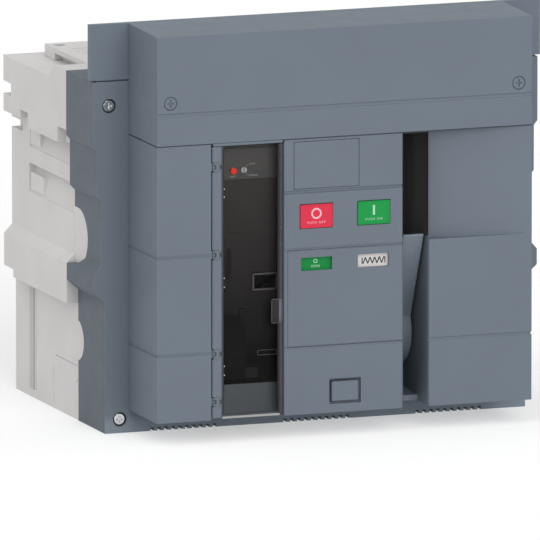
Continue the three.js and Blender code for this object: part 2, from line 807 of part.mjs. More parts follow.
function flankCuts(side) {
  const front = housingFrontY - over;
  const rear = rearY + over;
  const band = upperBlockBottom;
  const groove = 0.8;
  return [
    leaningRecess(side, 7, recess.low, recess.high, recess.rear),
    leaningRecess(side, 6, trough.low, band, trough.rear),
    sunkBox(side, flangeHalf, 7.7, rearY - 44, rear, band - 1, band + 5.5),
    sunkBox(side, flangeHalf, 7.7, rearY - 64, rearY - 44, band - 1, band + 13),
    sunkBox(side, flangeHalf, 7.7, front, baseRearY + 23, band - 1, band + 14),
    sunkBox(side, flangeHalf, 14, rearY - 20, rear, band + 21, band + 32),
    sunkBox(side, midHalf, 8, rearY - 29, rear, band - 9, band),
    sunkBox(side, flangeHalf, 11, rearY - 24, rear, skirtBottom - over, skirtBottom + 7),
    sunkBox(side, footHalf, 1.2, rearY - 54, rearY - 52.6, 8, skirtBottom - 6),
    sunkBox(side, footHalf, groove, door.rear - groove, door.rear, 6, door.top - 8),
    sunkBox(side, footHalf, groove, baseRearY + 3, door.rear - 7, door.top, door.top + groove),
  ];
}

// Small blocks left standing in the recess and the trough, and a stud near the front edge
function flankBosses(side) {
  const x0 = Math.min(side * (midHalf - 9), side * (midHalf - 0.6));
  const x1 = Math.max(side * (midHalf - 9), side * (midHalf - 0.6));
  const studRoot = side * (footHalf - 2);
  const studTip = side * (footHalf + 1.5);
  return [
    block(x0, x1, recess.rear - 36, recess.rear - 2, recess.low + 2.7, recess.high - 8),
    block(x0, x1, trough.rear - 26, trough.rear, trough.low + 2.5, upperBlockBottom - 3),
    rodX(2, Math.min(studRoot, studTip), Math.max(studRoot, studTip), baseRearY + 5, 35, 12),
  ];
}

function rearHousing() {
  const outer = alongY(housingOutline(), housingFrontY, rearY);
  const seatHalf = topCover.half + fit;
  const shelfShape = outline([
    [topCover.front, baseTop], [rampFootY, shelfTop], [rearY + over, shelfTop],
    [rearY + over, baseTop + over],
    [topCover.front, baseTop + over],
  ]);
  const topCuts = [
    alongX(shelfShape, -flangeHalf - over, -seatHalf + 0.01),
    alongX(shelfShape, seatHalf - 0.01, flangeHalf + over),
    block(-seatHalf, seatHalf, topCover.front, rearY + over, shelfTop, baseTop + over),
  ];
  const coverScrewHoles = coverScrewPlaces.map(([, x, y]) => (
    rodZ(coverScrew.shank / 2 + fit, shelfTop - 9, shelfTop + over, x, y, 10)));
  const bosses = [-1, 1].flatMap((side) => flankBosses(side));
  const tongues = [-1, 1].flatMap((side) => lapTongues.map((lap) => (
    lapTongue(lap, side, 0, lap.surface - tongueThick, lap.surface - 0.2))));
  const body = cut(
    outer, ...topCuts, ...cellCavities(), ...terminalWindows(), ...flankCuts(-1), ...flankCuts(1),
    ...coverScrewHoles,
  );
  return join(body, ...bosses, ...tongues);
}

const coverScrewPlaces = [
  ['chute_cover_screw_left', -topCover.half + 9.4, topCover.rear - 12],
  ['chute_cover_screw_right', topCover.half - 9.4, topCover.rear - 12],
];

function chuteCover() {
  const plate = block(
    -topCover.half, topCover.half, topCover.front + fit, topCover.rear, shelfTop + fit, topCover.top,
  );
  const vents = poleXs.flatMap((x) => ventOffsets.map((offset) => (
    block(
      x - chute.half, x + chute.half, rearY - offset - 1.2, rearY - offset + 1.2, topCover.top - 2.5,
      topCover.top + over,
    ))));
  const pockets = [-1, 1].map((side) => {
    const inner = side * (topCover.half - 7);
    const outer = side * (topCover.half + over);
    return block(
      Math.min(inner, outer), Math.max(inner, outer), rearY - 112, rearY - 46, shelfTop - over,
      shelfTop + 6.5,
    );
  });
  const holes = coverScrewPlaces.flatMap(([, x, y]) => [
    rodZ(
      coverScrew.recess / 2, topCover.top - coverScrew.sunk - coverScrew.headThick - fit,
      topCover.top + over, x, y,
    ),
    rodZ(coverScrew.shank / 2 + fit, shelfTop - over, topCover.top, x, y, 10),
  ]);
  return cut(plate, ...vents, ...pockets, ...holes);
}

function chuteCoverScrew(x, y) {
  const headTop = topCover.top - coverScrew.sunk;
  const seat = headTop - coverScrew.headThick;
  const slot = coverScrew.head * 0.28;
  return cut(
    join(
      rodZ(coverScrew.head / 2, seat, headTop, x, y),
      rodZ(coverScrew.shank / 2, seat - coverScrew.length, seat + fit, x, y, 10),
    ),
    block(x - slot, x + slot, y - 0.6, y + 0.6, headTop - 1.2, headTop + over),
    block(x - 0.6, x + 0.6, y - slot, y + slot, headTop - 1.2, headTop + over),
  );
}

// Power path of one pole

function arcChute(x) {
  const body = block(
    x - chute.half, x + chute.half, chute.front, chute.rear, chute.bottom, shelfTop - 1,
  );
  const pitch = (chute.rear - chute.front - chute.slot) / chute.plates;
  const slots = [];
  for (let i = 0; i < chute.plates; i += 1) {
    const y = chute.front + chute.slot + i * pitch;
    slots.push(block(
      x - chute.half + 5, x + chute.half - 5, y, y + pitch - 2, chute.bottom - over,
      chute.bottom + 42,
    ));
  }
  return cut(body, ...slots);
}

function terminalPad(x, z) {
  const pad = block(
    x - terminal.half, x + terminal.half, rearY - terminal.pad, rearY, z - terminal.height / 2,
    z + terminal.height / 2,
  );
  const holes = [-1, 1].flatMap((a) => [-1, 1].map((b) => (
    rodY(
      terminal.hole, rearY - terminal.pad - over, rearY + over,
      x + a * terminal.holeSpacing / 2, z + b * terminal.holeSpacing / 2, 16,
    ))));
  return cut(pad, ...holes);
}

function upperTerminal(x) {
  const bar = block(
    x - terminal.barHalf, x + terminal.barHalf, contactFaceY, rearY - terminal.pad + 1,
    upperTerminalZ - terminal.barThick / 2, upperTerminalZ + terminal.barThick / 2,
  );
  return join(terminalPad(x, upperTerminalZ), bar);
}

function lowerTerminal(x) {
  const bar = block(
    x - terminal.barHalf, x + terminal.barHalf, contactFaceY + 6, rearY - terminal.pad + 1,
    lowerTerminalZ - terminal.barThick / 2, lowerTerminalZ + terminal.barThick / 2,
  );
  const yoke = [-1, 1].map((side) => {
    const inner = x + side * (armHalf + fit);
    const outer = x + side * terminal.barHalf;
    return join(
      block(
        Math.min(inner, outer), Math.max(inner, outer), armPivot.y, contactFaceY + 7,
        lowerTerminalZ - terminal.barThick / 2, lowerTerminalZ + terminal.barThick / 2,
      ),
      rodX(8, Math.min(inner, outer), Math.max(inner, outer), armPivot.y, armPivot.z, 16),
    );
  });
  const bores = rodX(
    5 + fit, x - terminal.barHalf - over, x + terminal.barHalf + over, armPivot.y, armPivot.z, 12,
  );
  return cut(join(terminalPad(x, lowerTerminalZ), bar, ...yoke), bores);
}

function currentTransformer(x) {
  const half = terminal.barHalf + fit;
  return cut(
    block(
      x - transformer.half, x + transformer.half, rearY - terminal.pad - 3 - transformer.depth,
      rearY - terminal.pad - 3, lowerTerminalZ - transformer.height / 2,
      lowerTerminalZ + transformer.height / 2,
    ),
    block(x - half, x + half, 0, rearY, lowerTerminalZ - terminal.barThick / 2 - fit,
      lowerTerminalZ + terminal.barThick / 2 + fit),
  );
}

// The arm is shaped upright, as it stands when closed, and leans forward when open
function contactArm(x) {
  const { y, z } = armPivot;
  const hub = rodX(9, x - armHalf, x + armHalf, y, z, 16);
  const pivotPin = rodX(5, x - terminal.barHalf + 0.4, x + terminal.barHalf - 0.4, y, z, 12);
  const blade = block(x - armHalf, x + armHalf, y - armThick / 2, y + armThick / 2 - 1, z, z + armReach);
  const pad = block(
    x - armHalf, x + armHalf, y, contactFaceY - contactGap, upperTerminalZ - 7, upperTerminalZ + 7,
  );
  const fingerCuts = [-2, -1, 0, 1, 2].map((i) => (
    block(
      x + i * 9 - 0.8, x + i * 9 + 0.8, y - 12, contactFaceY + over,
      z + armPinUp + 20, z + armReach + over,
    )));
  const ears = [-1, 1].map((side) => {
    const inner = x + side * (linkHalf + 1);
    const outer = x + side * (linkHalf + 1 + cheekThick);
    return join(
      block(
        Math.min(inner, outer), Math.max(inner, outer), y - armPinForward, y, z + armPinUp - 8,
        z + armPinUp + 8,
      ),
      rodX(8, Math.min(inner, outer), Math.max(inner, outer), y - armPinForward, z + armPinUp, 12),
    );
  });
  const linkWindow = block(
    x - linkHalf - 1, x + linkHalf + 1, y - armThick, y + armThick, z + armPinUp - 14, z + armPinUp + 14,
  );
  const earPin = rodX(pinRadius, x - linkHalf - 2, x + linkHalf + 2, y - armPinForward, z + armPinUp, 12);
  return join(cut(join(hub, blade, pad), ...fingerCuts, linkWindow), pivotPin, ...ears, earPin);
}

// The pole shaft lever's pin and the arm's pin, with the breaker open
const leverPin = leaning(shaftAxis, leverLength, leverOpenAngle);
const openAngle = THREE.MathUtils.degToRad(armOpenAngle);
const armPin = {
  y: armPivot.y - armPinForward * Math.cos(openAngle) - armPinUp * Math.sin(openAngle),
  z: armPivot.z - armPinForward * Math.sin(openAngle) + armPinUp * Math.cos(openAngle),
};

// Insulating link, shaped along Y from the lever pin, then turned to meet the arm's pin.
// Its far eye is a long hole, because the open linkage turns at constant ratios.
function driveLink(x) {
  const length = Math.hypot(armPin.y - leverPin.y, armPin.z - leverPin.z);
  const { y, z } = leverPin;
  const far = y + length;
  const x0 = x - linkHalf;
  const x1 = x + linkHalf;
  const bar = block(x0, x1, y, far, z - 5, z + 5);
  const eyes = [rodX(linkEye - 1, x0, x1, y, z, 16), rodX(linkEye + 1, x0, x1, far, z, 16)];
  const nearBore = rodX(pinRadius + fit, x0 - over, x1 + over, y, z, 12);
  const farBores = [0, -openEyeSlide].map((shift) => rodX(
    openEyeBore, x0 - over, x1 + over, far + shift, z, 12,
  ));
  const between = block(
    x0 - over, x1 + over, far - openEyeSlide, far, z - openEyeBore * 0.9, z + openEyeBore * 0.9,
  );
  return cut(join(bar, ...eyes), nearBore, ...farBores, between);
}

function poleShaft() {
  const end = poleSpacing + 40;
  const rod = rodX(shaftRadius, -end, end, shaftAxis.y, shaftAxis.z, 16);
  const levers = poleXs.flatMap((x) => [
    ...[-1, 1].map((side) => {
      const inner = x + side * (linkHalf + 1);
      const outer = x + side * (linkHalf + 1 + cheekThick);
      const x0 = Math.min(inner, outer);
      const x1 = Math.max(inner, outer);
      const arm = outline([
        [shaftAxis.y - 8, shaftAxis.z], [shaftAxis.y + 8, shaftAxis.z],
        [leverPin.y + 6, leverPin.z], [leverPin.y - 6, leverPin.z],
      ]);
      return join(
        alongX(arm, x0, x1),
        rodX(6.5, x0, x1, leverPin.y, leverPin.z, 12),
        rodX(shaftRadius + 4, x0, x1, shaftAxis.y, shaftAxis.z, 16),
      );
    }),
    rodX(pinRadius, x - linkHalf - 2, x + linkHalf + 2, leverPin.y, leverPin.z, 12),
  ]);
  return join(rod, ...levers);
}

function mechanismPlate(side) {
  const inner = side * plateX;
  const outer = side * (plateX + plateThick);
  const x0 = Math.min(inner, outer);
  const x1 = Math.max(inner, outer);
  const plate = block(x0, x1, plateFrontY, bayRearY, plateBottom, plateTop);
  const foot = block(
    Math.min(inner, side * (plateX - 12)), Math.max(inner, side * (plateX - 12)),
    bayRearY - plateThick, bayRearY, plateTop - 40, plateTop,
  );
  const bores = [
    rodX(shaftRadius + fit, x0 - over, x1 + over, shaftAxis.y, shaftAxis.z),
    rodX(camRadius + fit, x0 - over, x1 + over, camAxis.y, camAxis.z),
    rodX(handleShaftRadius + fit, x0 - over, x1 + over, handleAxis.y, handleAxis.z),
  ];
  return cut(join(plate, foot), ...bores);
}

function ratchetShape() {
  const shape = new THREE.Shape();
  for (let i = 0; i < ratchet.teeth; i += 1) {
    const start = (i / ratchet.teeth) * 2 * Math.PI;
    const end = ((i + 1) / ratchet.teeth) * 2 * Math.PI;
    const root = ratchet.radius - ratchet.depth;
    const from = [camAxis.y + root * Math.cos(start), camAxis.z + root * Math.sin(start)];
    const tip = [camAxis.y + ratchet.radius * Math.cos(end), camAxis.z + ratchet.radius * Math.sin(end)];
    if (i === 0) {
      shape.moveTo(...from);
    } else {
      shape.lineTo(...from);
    }
    shape.lineTo(...tip);
  }
  return shape;
}

function camshaft() {
  const end = plateX + plateThick + 0.6;
  const wheelX = plateX - 14;
  const cam = join(
    rodX(14, -12, 12, camAxis.y, camAxis.z, 20),
    rodX(9, -12, 12, camAxis.y - 9, camAxis.z + 5, 16),
  );
  const crank = join(
    rodX(10, -36, -30, camAxis.y, camAxis.z, 20),
    block(-36, -30, camAxis.y - 5, camAxis.y + 5, camAxis.z, camAxis.z + 16),
  );
  return join(
    rodX(camRadius, -end, end, camAxis.y, camAxis.z, 16),
    alongX(ratchetShape(), wheelX, wheelX + ratchet.width), cam, crank,
  );
}

// Closing spring: its stacked turns as one ribbed sleeve, beside the left plate
const springAt = { x: -plateX + spring.outer + fit, y: shaftAxis.y - 28 };

function closingSpring() {
  const pitch = spring.length / spring.turns;
  const profile = [new THREE.Vector2(spring.inner, 0)];
  for (let i = 0; i < spring.turns; i += 1) {
    profile.push(new THREE.Vector2(spring.outer - spring.flute, i * pitch));
    profile.push(new THREE.Vector2(spring.outer, (i + 0.5) * pitch));
  }
  profile.push(new THREE.Vector2(spring.outer - spring.flute, spring.length));
  profile.push(new THREE.Vector2(spring.inner, spring.length));
  profile.push(new THREE.Vector2(spring.inner, 0));
  const geometry = new THREE.LatheGeometry(profile, 16);
  geometry.rotateX(Math.PI / 2);
  geometry.translate(springAt.x, springAt.y, spring.bottom);
  return toSolid(geometry);
}

// Charging motor with its gear case and a foot on the rear of the bay
function chargingMotor() {
  const y = flangeY - 24;
  const z = 78;
  const left = rightPanelLeft + 6.5;
  return join(
    rodX(24, left + 12, left + 74, y, z, 28),
    rodX(9, left + 72, left + 78, y, z, 20),
    block(left, left + 14, y - 24, y + 24, z - 26, z + 26),
    block(left + 2, left + 8, y, bayRearY, z - 20, z + 12),
    block(left + 2, left + 26, bayRearY - 4, bayRearY, z - 20, z + 12),
  );
}

function releaseCoil(side) {
  const inner = side * (plateX - fit - 24);
  const outer = side * (plateX - fit);
  const x0 = Math.min(inner, outer);
  const x1 = Math.max(inner, outer);
  const z = plateTop - 18;
  const y = plateFrontY;
  return join(
    block(x0, x1, y, y + 4, z - 14, z + 14),
    rodY(11, y + 2, y + 22, (x0 + x1) / 2, z, 24),
    block(x0, x1, y + 20, y + 24, z - 14, z + 14),
    rodY(3, y - 5, y + 2, (x0 + x1) / 2, z, 16),
  );
}

function auxiliarySwitch() {
  const left = -fasciaHalf + 11;
  const right = left + 34;
  const bottom = 186;
  const body = block(left, right, bayRearY - 42, bayRearY, bottom, bottom + 76);
  const blocks = [0, 1, 2, 3, 4, 5].map((i) => (
    block(left + 4, right - 4, bayRearY - 46, bayRearY - 40, bottom + 4 + i * 12, bottom + 11 + i * 12)));
  return join(body, ...blocks);
}

// Assembly

addPiece('base_moulding', baseMoulding(), finish.dark());
addPiece('upper_plate', upperPlate(), finish.front());
addPiece('hood', hood(), finish.front());
addPiece('left_panel', leftPanel(), finish.front());
addPiece('centre_panel', centrePanel(), finish.front());
addPiece('right_panel', rightPanel(), finish.front());
addPiece('blank_option_plate', blankOptionPlate(), finish.front());
addPiece('handle_pocket', handlePocket(), finish.black());
for (const [name, x, z] of flangeScrewPlaces) {
  addPiece(name, screw(flangeScrew, flangeY, x, z), finish.chrome(), [x, flangeY, z]);
}
for (const side of [-1, 1]) {
  const name = side < 0 ? 'hood_screw_left' : 'hood_screw_right';
  const x = side * hoodScrewAt.x;
  addPiece(name, screw(hoodScrew, frontY, x, hoodScrewAt.z), finish.front(), [x, frontY, hoodScrewAt.z]);
}

const cover = new THREE.Group();
breaker.add(cover);
const hingeAt = [hingeX, hingeY, coverBottom];
addPiece('cover_hinge_strip', coverStrip(), finish.front(), hingeAt, cover);
addPiece('cover_window', coverWindow(), finish.clear(), hingeAt, cover);
addPiece('cover_hinge_pin', hingePin(), finish.steel(), hingeAt);

addPiece('trip_unit', tripCase(), finish.black());
addPiece('trip_display', tripDisplay(), finish.black());
addPiece('reset_button', resetPush(), finish.red(), [resetButton.x, tripFaceY, resetButton.z]);
addPiece('mode_selector', roundSlotted(selector.radius, selector.x, selector.z, 0.6), finish.white(),
  [selector.x, tripFaceY, selector.z]);
addPiece('test_port_plug', roundSlotted(portPlug.radius, portPlug.x, portPlug.z, -0.6), finish.black(),
  [portPlug.x, tripFaceY, portPlug.z]);

addPiece('off_button', pushButton(-1), finish.red(), [-button.x, frontY, button.z]);
addPiece('on_button', pushButton(1), finish.green(), [button.x, frontY, button.z]);
addPiece('contact_indicator', indicatorFlag(-1), finish.green(), [-flag.x, panelY, flag.z]);
addPiece('spring_indicator', indicatorFlag(1), finish.white(), [flag.x, panelY, flag.z]);
addPiece('padlock_tab', padlockTab(), finish.front(), [0, panelY, tab.bottom]);

const handle = new THREE.Group();
breaker.add(handle);
const handleAt = [0, handleAxis.y, handleAxis.z];
addPiece('charging_handle', chargingHandle(), finish.black(), handleAt, handle);
addPiece('handle_shaft', handleShaft(), finish.steel(), handleAt, handle);

addPiece('rear_housing', rearHousing(), finish.pale());
addPiece('arc_chute_cover', chuteCover(), finish.pale());
for (const [name, x, y] of coverScrewPlaces) {
  addPiece(name, chuteCoverScrew(x, y), finish.steel(), [x, y, topCover.top]);
}

poleXs.forEach((x, i) => {
  addPiece(`arc_chute_${poleNames[i]}`, arcChute(x), finish.steel());
  addPiece(`upper_terminal_${poleNames[i]}`, upperTerminal(x), finish.copper());
  addPiece(`lower_terminal_${poleNames[i]}`, lowerTerminal(x), finish.copper());
  addPiece(`current_transformer_${poleNames[i]}`, currentTransformer(x), finish.black());
  const arm = addPiece(
    `contact_arm_${poleNames[i]}`, contactArm(x), finish.copper(), [0, armPivot.y, armPivot.z],
  );
  arm.rotation.x = openAngle;
  const link = addPiece(
    `drive_link_${poleNames[i]}`, driveLink(x), finish.red(), [0, leverPin.y, leverPin.z],
  );
  link.rotation.x = Math.atan2(armPin.z - leverPin.z, armPin.y - leverPin.y);
});

addPiece('pole_shaft', poleShaft(), finish.steel(), [0, shaftAxis.y, shaftAxis.z]);
addPiece('mechanism_plate_left', mechanismPlate(-1), finish.steel());
addPiece('mechanism_plate_right', mechanismPlate(1), finish.steel());
addPiece('camshaft', camshaft(), finish.steel(), [0, camAxis.y, camAxis.z]);
addPiece('closing_spring', closingSpring(), finish.steel(), [springAt.x, springAt.y, spring.bottom]);
addPiece('charging_motor', chargingMotor(), finish.steel());
addPiece('opening_coil', releaseCoil(-1), finish.coil());
addPiece('closing_coil', releaseCoil(1), finish.coil());
addPiece('auxiliary_switch', auxiliarySwitch(), finish.black());

export default breaker;
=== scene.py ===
import json
import math

import bmesh
import bpy
from mathutils import Matrix, Vector


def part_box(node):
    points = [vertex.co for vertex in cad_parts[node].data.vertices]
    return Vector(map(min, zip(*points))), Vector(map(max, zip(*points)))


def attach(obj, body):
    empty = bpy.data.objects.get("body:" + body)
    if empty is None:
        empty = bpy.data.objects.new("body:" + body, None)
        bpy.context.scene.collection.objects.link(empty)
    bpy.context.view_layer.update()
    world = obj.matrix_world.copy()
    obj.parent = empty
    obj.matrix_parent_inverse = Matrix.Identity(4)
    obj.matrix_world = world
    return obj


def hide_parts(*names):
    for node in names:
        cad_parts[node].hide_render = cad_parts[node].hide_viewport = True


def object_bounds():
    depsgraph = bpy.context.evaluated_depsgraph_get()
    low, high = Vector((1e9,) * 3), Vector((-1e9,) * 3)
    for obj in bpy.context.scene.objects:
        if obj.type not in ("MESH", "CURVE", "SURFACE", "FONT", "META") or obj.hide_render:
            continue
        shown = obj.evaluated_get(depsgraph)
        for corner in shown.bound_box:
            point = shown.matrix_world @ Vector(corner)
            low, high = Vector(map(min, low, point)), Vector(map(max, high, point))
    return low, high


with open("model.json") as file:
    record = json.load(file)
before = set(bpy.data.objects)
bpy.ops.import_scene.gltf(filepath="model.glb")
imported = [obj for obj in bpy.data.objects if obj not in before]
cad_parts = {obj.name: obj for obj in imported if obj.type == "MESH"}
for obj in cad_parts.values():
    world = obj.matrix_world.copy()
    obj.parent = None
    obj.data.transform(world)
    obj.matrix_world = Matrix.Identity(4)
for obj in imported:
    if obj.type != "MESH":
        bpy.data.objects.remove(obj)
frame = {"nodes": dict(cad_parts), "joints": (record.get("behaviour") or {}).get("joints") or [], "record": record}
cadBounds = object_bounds()
boxes = {name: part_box(name) for name in frame["nodes"]}
print("frame loaded:", len(boxes), "CAD nodes")

mm = 0.001


def srgb(hexCode):
    # hex colour to linear RGBA
    values = [int(hexCode[i:i + 2], 16) / 255 for i in (1, 3, 5)]
    linear = [v / 12.92 if v <= 0.04045 else ((v + 0.055) / 1.055) ** 2.4 for v in values]
    return (*linear, 1.0)


def lift(colour, factor):
    return (*[min(1.0, c * factor) for c in colour[:3]], colour[3])


def addNode(tree, kind, inputs=None, **settings):
    node = tree.nodes.new(kind)
    for key, value in settings.items():
        setattr(node, key, value)
    for key, value in (inputs or {}).items():
        if isinstance(value, bpy.types.NodeSocket):
            tree.links.new(value, node.inputs[key])
        else:
            node.inputs[key].default_value = value
    return node


def newMaterial(name):
    material = bpy.data.materials.new(name)
    material.use_nodes = True
    tree = material.node_tree
    tree.nodes.clear()
    place = addNode(tree, "ShaderNodeTexCoord").outputs["Object"]
    return material, tree, place


def output(tree, surface):
    addNode(tree, "ShaderNodeOutputMaterial", {"Surface": surface})


def noise(tree, place, size, detail=3.0, stretch=(1, 1, 1)):
    # size is the real size of one blotch or grain in mm
    spread = addNode(tree, "ShaderNodeMapping", {"Vector": place, "Scale": stretch})
    return addNode(tree, "ShaderNodeTexNoise", {
        "Vector": spread.outputs["Vector"], "Scale": 1000 / size, "Detail": detail, "Roughness": 0.55,
    }).outputs["Fac"]


def between(tree, value, low, high, fromLow=0.3, fromHigh=0.7):
    # most of a noise lies between 0.3 and 0.7
    return addNode(tree, "ShaderNodeMapRange", {
        "Value": value, "From Min": fromLow, "From Max": fromHigh, "To Min": low, "To Max": high,
    }).outputs["Result"]


def mixColour(tree, fac, a, b):
    return addNode(tree, "ShaderNodeMix", {0: fac, 6: a, 7: b}, data_type="RGBA").outputs[2]


def combine(tree, operation, a, b, c=0.0, clamp=False):
    node = addNode(tree, "ShaderNodeMath", {0: a, 1: b, 2: c}, operation=operation, use_clamp=clamp)
    return node.outputs[0]


def bump(tree, height, depth, normal=None):
    # depth is the real height of the relief in mm
    inputs = {"Height": height, "Distance": depth * mm, "Strength": 1.0}
    if normal is not None:
        inputs["Normal"] = normal
    return addNode(tree, "ShaderNodeBump", inputs).outputs["Normal"]


# What a moulded skin is unless it says otherwise. Sizes and depths in mm, the rest are shares.
moulded = {"tone": 0.05, "drift": 70, "grain": 0.8, "fleck": 0.12, "patch": 22, "spread": 0.06, "tilt": 0.0,
           "sinkSize": 38, "sink": 0.05, "scratch": 1.1, "scratchRun": (0.05, 1, 1), "scratchRough": 0.06,
           "specular": 0.4, "coat": 0.0, "coatRough": 0.18}


def grained(name, look):
    # A moulded or painted skin: slow colour drift, fine grain, wiped patches and hairline scratches.
    # "upper" is a second colour and the two heights between which the first gives way to it; "tilt" is how
    # steeply that line falls to the rear. "deep" is what the upper colour turns to between two depths, painted
    # light that makes deep places paler, and "behind" what all of it turns to, painted shade on the faces behind
    # a front face.
    look = {**moulded, **look}
    material, tree, place = newMaterial(name)
    axes = addNode(tree, "ShaderNodeSeparateXYZ", {"Vector": place}).outputs
    drift = between(tree, noise(tree, place, look["drift"], 2), 0, 1)
    speck = noise(tree, place, look["grain"], 2)
    tones = [1 - look["tone"], 1 + look["tone"], 1 + look["fleck"]]
    shades = [lift(srgb(look["colour"]), tone) for tone in tones]
    if "upper" in look:
        second, low, high = look["upper"]
        height = combine(tree, "MULTIPLY_ADD", axes["Y"], look["tilt"], axes["Z"])
        share = between(tree, height, 0, 1, low, high)
        seconds = [lift(srgb(second), tone) for tone in tones]
        # the "deep" colour is painted light: it makes the deep part paler
        if "deep" in look:
            deepPaintedLight, near, far = look["deep"]
            depth = between(tree, axes["Y"], 0, 1, near, far)
            seconds = [mixColour(tree, depth, shade, lift(srgb(deepPaintedLight), tone))
                       for shade, tone in zip(seconds, tones)]
        shades = [mixColour(tree, share, a, b) for a, b in zip(shades, seconds)]
    colour = mixColour(tree, drift, shades[0], shades[1])
    colour = mixColour(tree, between(tree, speck, 0, 0.5, 0.45, 0.75), colour, shades[2])
    # the "behind" colour is painted shade on the faces behind a front face
    if "behind" in look:
        second, near, far = look["behind"]
        flecked = lift(srgb(second), tones[2])
        shade = mixColour(tree, between(tree, speck, 0, 1, 0.45, 0.75), srgb(second), flecked)
        colour = mixColour(tree, between(tree, axes["Y"], 0, 1, near, far), colour, shade)
    wiped = noise(tree, place, look["patch"], 4)
    scratch = noise(tree, place, look["scratch"], 1, look["scratchRun"])
    rough = between(tree, wiped, look["rough"] - look["spread"], look["rough"] + look["spread"])
    rough = combine(tree, "ADD", rough, between(tree, scratch, 0, look["scratchRough"], 0.66, 0.8))
    skin = bump(tree, speck, look["relief"])
    skin = bump(tree, noise(tree, place, look["sinkSize"], 1), look["sink"], skin)
    shader = addNode(tree, "ShaderNodeBsdfPrincipled", {
        "Base Color": colour, "Roughness": rough, "Normal": skin, "IOR": 1.46,
        "Specular IOR Level": look["specular"], "Coat Weight": look["coat"],
        "Coat Roughness": look["coatRough"],
    })
    output(tree, shader.outputs["BSDF"])
    return material


def plated(name, look):
    # a metal skin: drawn lines along one way, clouded plating, small dull spots
    material, tree, place = newMaterial(name)
    lines = noise(tree, place, look["line"], 2, look["along"])
    cloud = noise(tree, place, look["cloud"], 4)
    colour = mixColour(tree, between(tree, cloud, 0, 1), srgb(look["colour"]), srgb(look["second"]))
    rough = between(tree, lines, look["rough"] - look["spread"], look["rough"] + look["spread"])
    rough = combine(tree, "ADD", rough, between(tree, cloud, 0, 0.1, 0.55, 0.75))
    shader = addNode(tree, "ShaderNodeBsdfPrincipled", {
        "Base Color": colour, "Metallic": 1.0, "Roughness": rough,
        "Normal": bump(tree, lines, look["relief"]),
    })
    output(tree, shader.outputs["BSDF"])
    return material


def smokedSheet(name, look):
    # a clear sheet: light passes almost untinted, a thin wiped haze lies on it, slanting views reflect
    material, tree, place = newMaterial(name)
    smear = noise(tree, place, look["smear"], 4, (0.4, 1, 1))
    tint = mixColour(tree, between(tree, smear, 0, 1), srgb(look["tint"]), srgb(look["second"]))
    skin = bump(tree, noise(tree, place, look["wave"], 1), look["waveDepth"])
    clear = addNode(tree, "ShaderNodeBsdfTransparent", {"Color": tint})
    haze = addNode(tree, "ShaderNodeBsdfDiffuse", {"Color": srgb(look["haze"]), "Normal": skin})
    hazed = addNode(tree, "ShaderNodeMixShader", {
        0: between(tree, smear, *look["hazed"]), 1: clear.outputs["BSDF"], 2: haze.outputs["BSDF"]})
    shine = addNode(tree, "ShaderNodeBsdfGlossy", {
        "Color": srgb(look["shine"]), "Roughness": between(tree, smear, *look["rough"]), "Normal": skin})
    edge = addNode(tree, "ShaderNodeFresnel", {"IOR": look["ior"], "Normal": skin})
    past = combine(tree, "SUBTRACT", edge.outputs["Fac"], look["facing"], clamp=True)
    mixed = addNode(tree, "ShaderNodeMixShader", {
        0: combine(tree, "MULTIPLY", past, look["gloss"], clamp=True),
        1: hazed.outputs["Shader"], 2: shine.outputs["BSDF"]})
    output(tree, mixed.outputs["Shader"])
    return material


# Moulded thermoplastic fascia: blue-grey, very fine spark-eroded grain, so it reads matt with soft edges.
fasciaSkin = grained("MouldedFasciaPlastic", {
    "colour": "#6e7883", "tone": 0.025, "grain": 0.9, "relief": 0.012, "rough": 0.52, "spread": 0.05,
    "fleck": 0.05,
})
# Filled thermoset base: the same colour, coarser; painted light makes it paler at its foot and painted shade
# makes it darker behind its front face.
baseFront = boxes["base_moulding"][0].y
basePaintedLightShadeSkin = grained("FilledThermosetBasePaintedLightShade", {
    "colour": "#808b96", "tone": 0.03, "grain": 1.3, "relief": 0.02, "rough": 0.58, "fleck": 0.08,
    "upper": ("#6c7680", 8 * mm, 16 * mm),
    "behind": ("#606972", baseFront + 0.4 * mm, baseFront + 1.2 * mm),
})
# Glass-filled housing: pale grey with faint flow marks and short fibre flecks.
housingSkin = grained("GlassFilledHousing", {
    "colour": "#dcdad9", "tone": 0.035, "grain": 1.1, "relief": 0.02, "rough": 0.5, "spread": 0.07,
    "fleck": 0.05, "drift": 55,
})
# Housing flank seam in painted shade: the same pale compound one tone down for the shade in its shallow
# channel, and a duller strip beside it for the shade in its groove.
channelShadeSkin = grained("HousingChannelPaintedShade", {
    "colour": "#c6c3c2", "tone": 0.03, "grain": 1.2, "relief": 0.012, "rough": 0.56, "fleck": 0.06,
})
grooveShadeSkin = grained("HousingGroovePaintedShade", {"colour": "#a29e9b", "relief": 0.01, "rough": 0.6, "spread": 0.05})
# Matt black moulding inside the recesses: almost no light back, only a soft grain.
blackSkin = grained("MattBlackMoulding", {
    "colour": "#2b2827", "tone": 0.08, "relief": 0.015, "rough": 0.55, "spread": 0.07,
})
# Trip unit case: near-black moulding that turns warmer and lighter towards the top, where the reflection on
# the smoked sheet in front of it is painted onto the case. The bay's side wall is the same moulding painted
# as if in more light.
tripTop = boxes["trip_unit"][1].z
paintedLightFade = (tripTop - 190 * mm, tripTop - 30 * mm)
caseLook = {"relief": 0.008, "rough": 0.6, "sink": 0.02, "specular": 0.12}
casePaintedReflectionSkin = grained("DarkTripCasePaintedReflection", {**caseLook, "colour": "#0d0c0c", "upper": ("#464241", *paintedLightFade)})
bayWallPaintedLightSkin = grained("BayWallLinerPaintedLight", {**caseLook, "colour": "#2b2928", "upper": ("#8a8583", *paintedLightFade)})
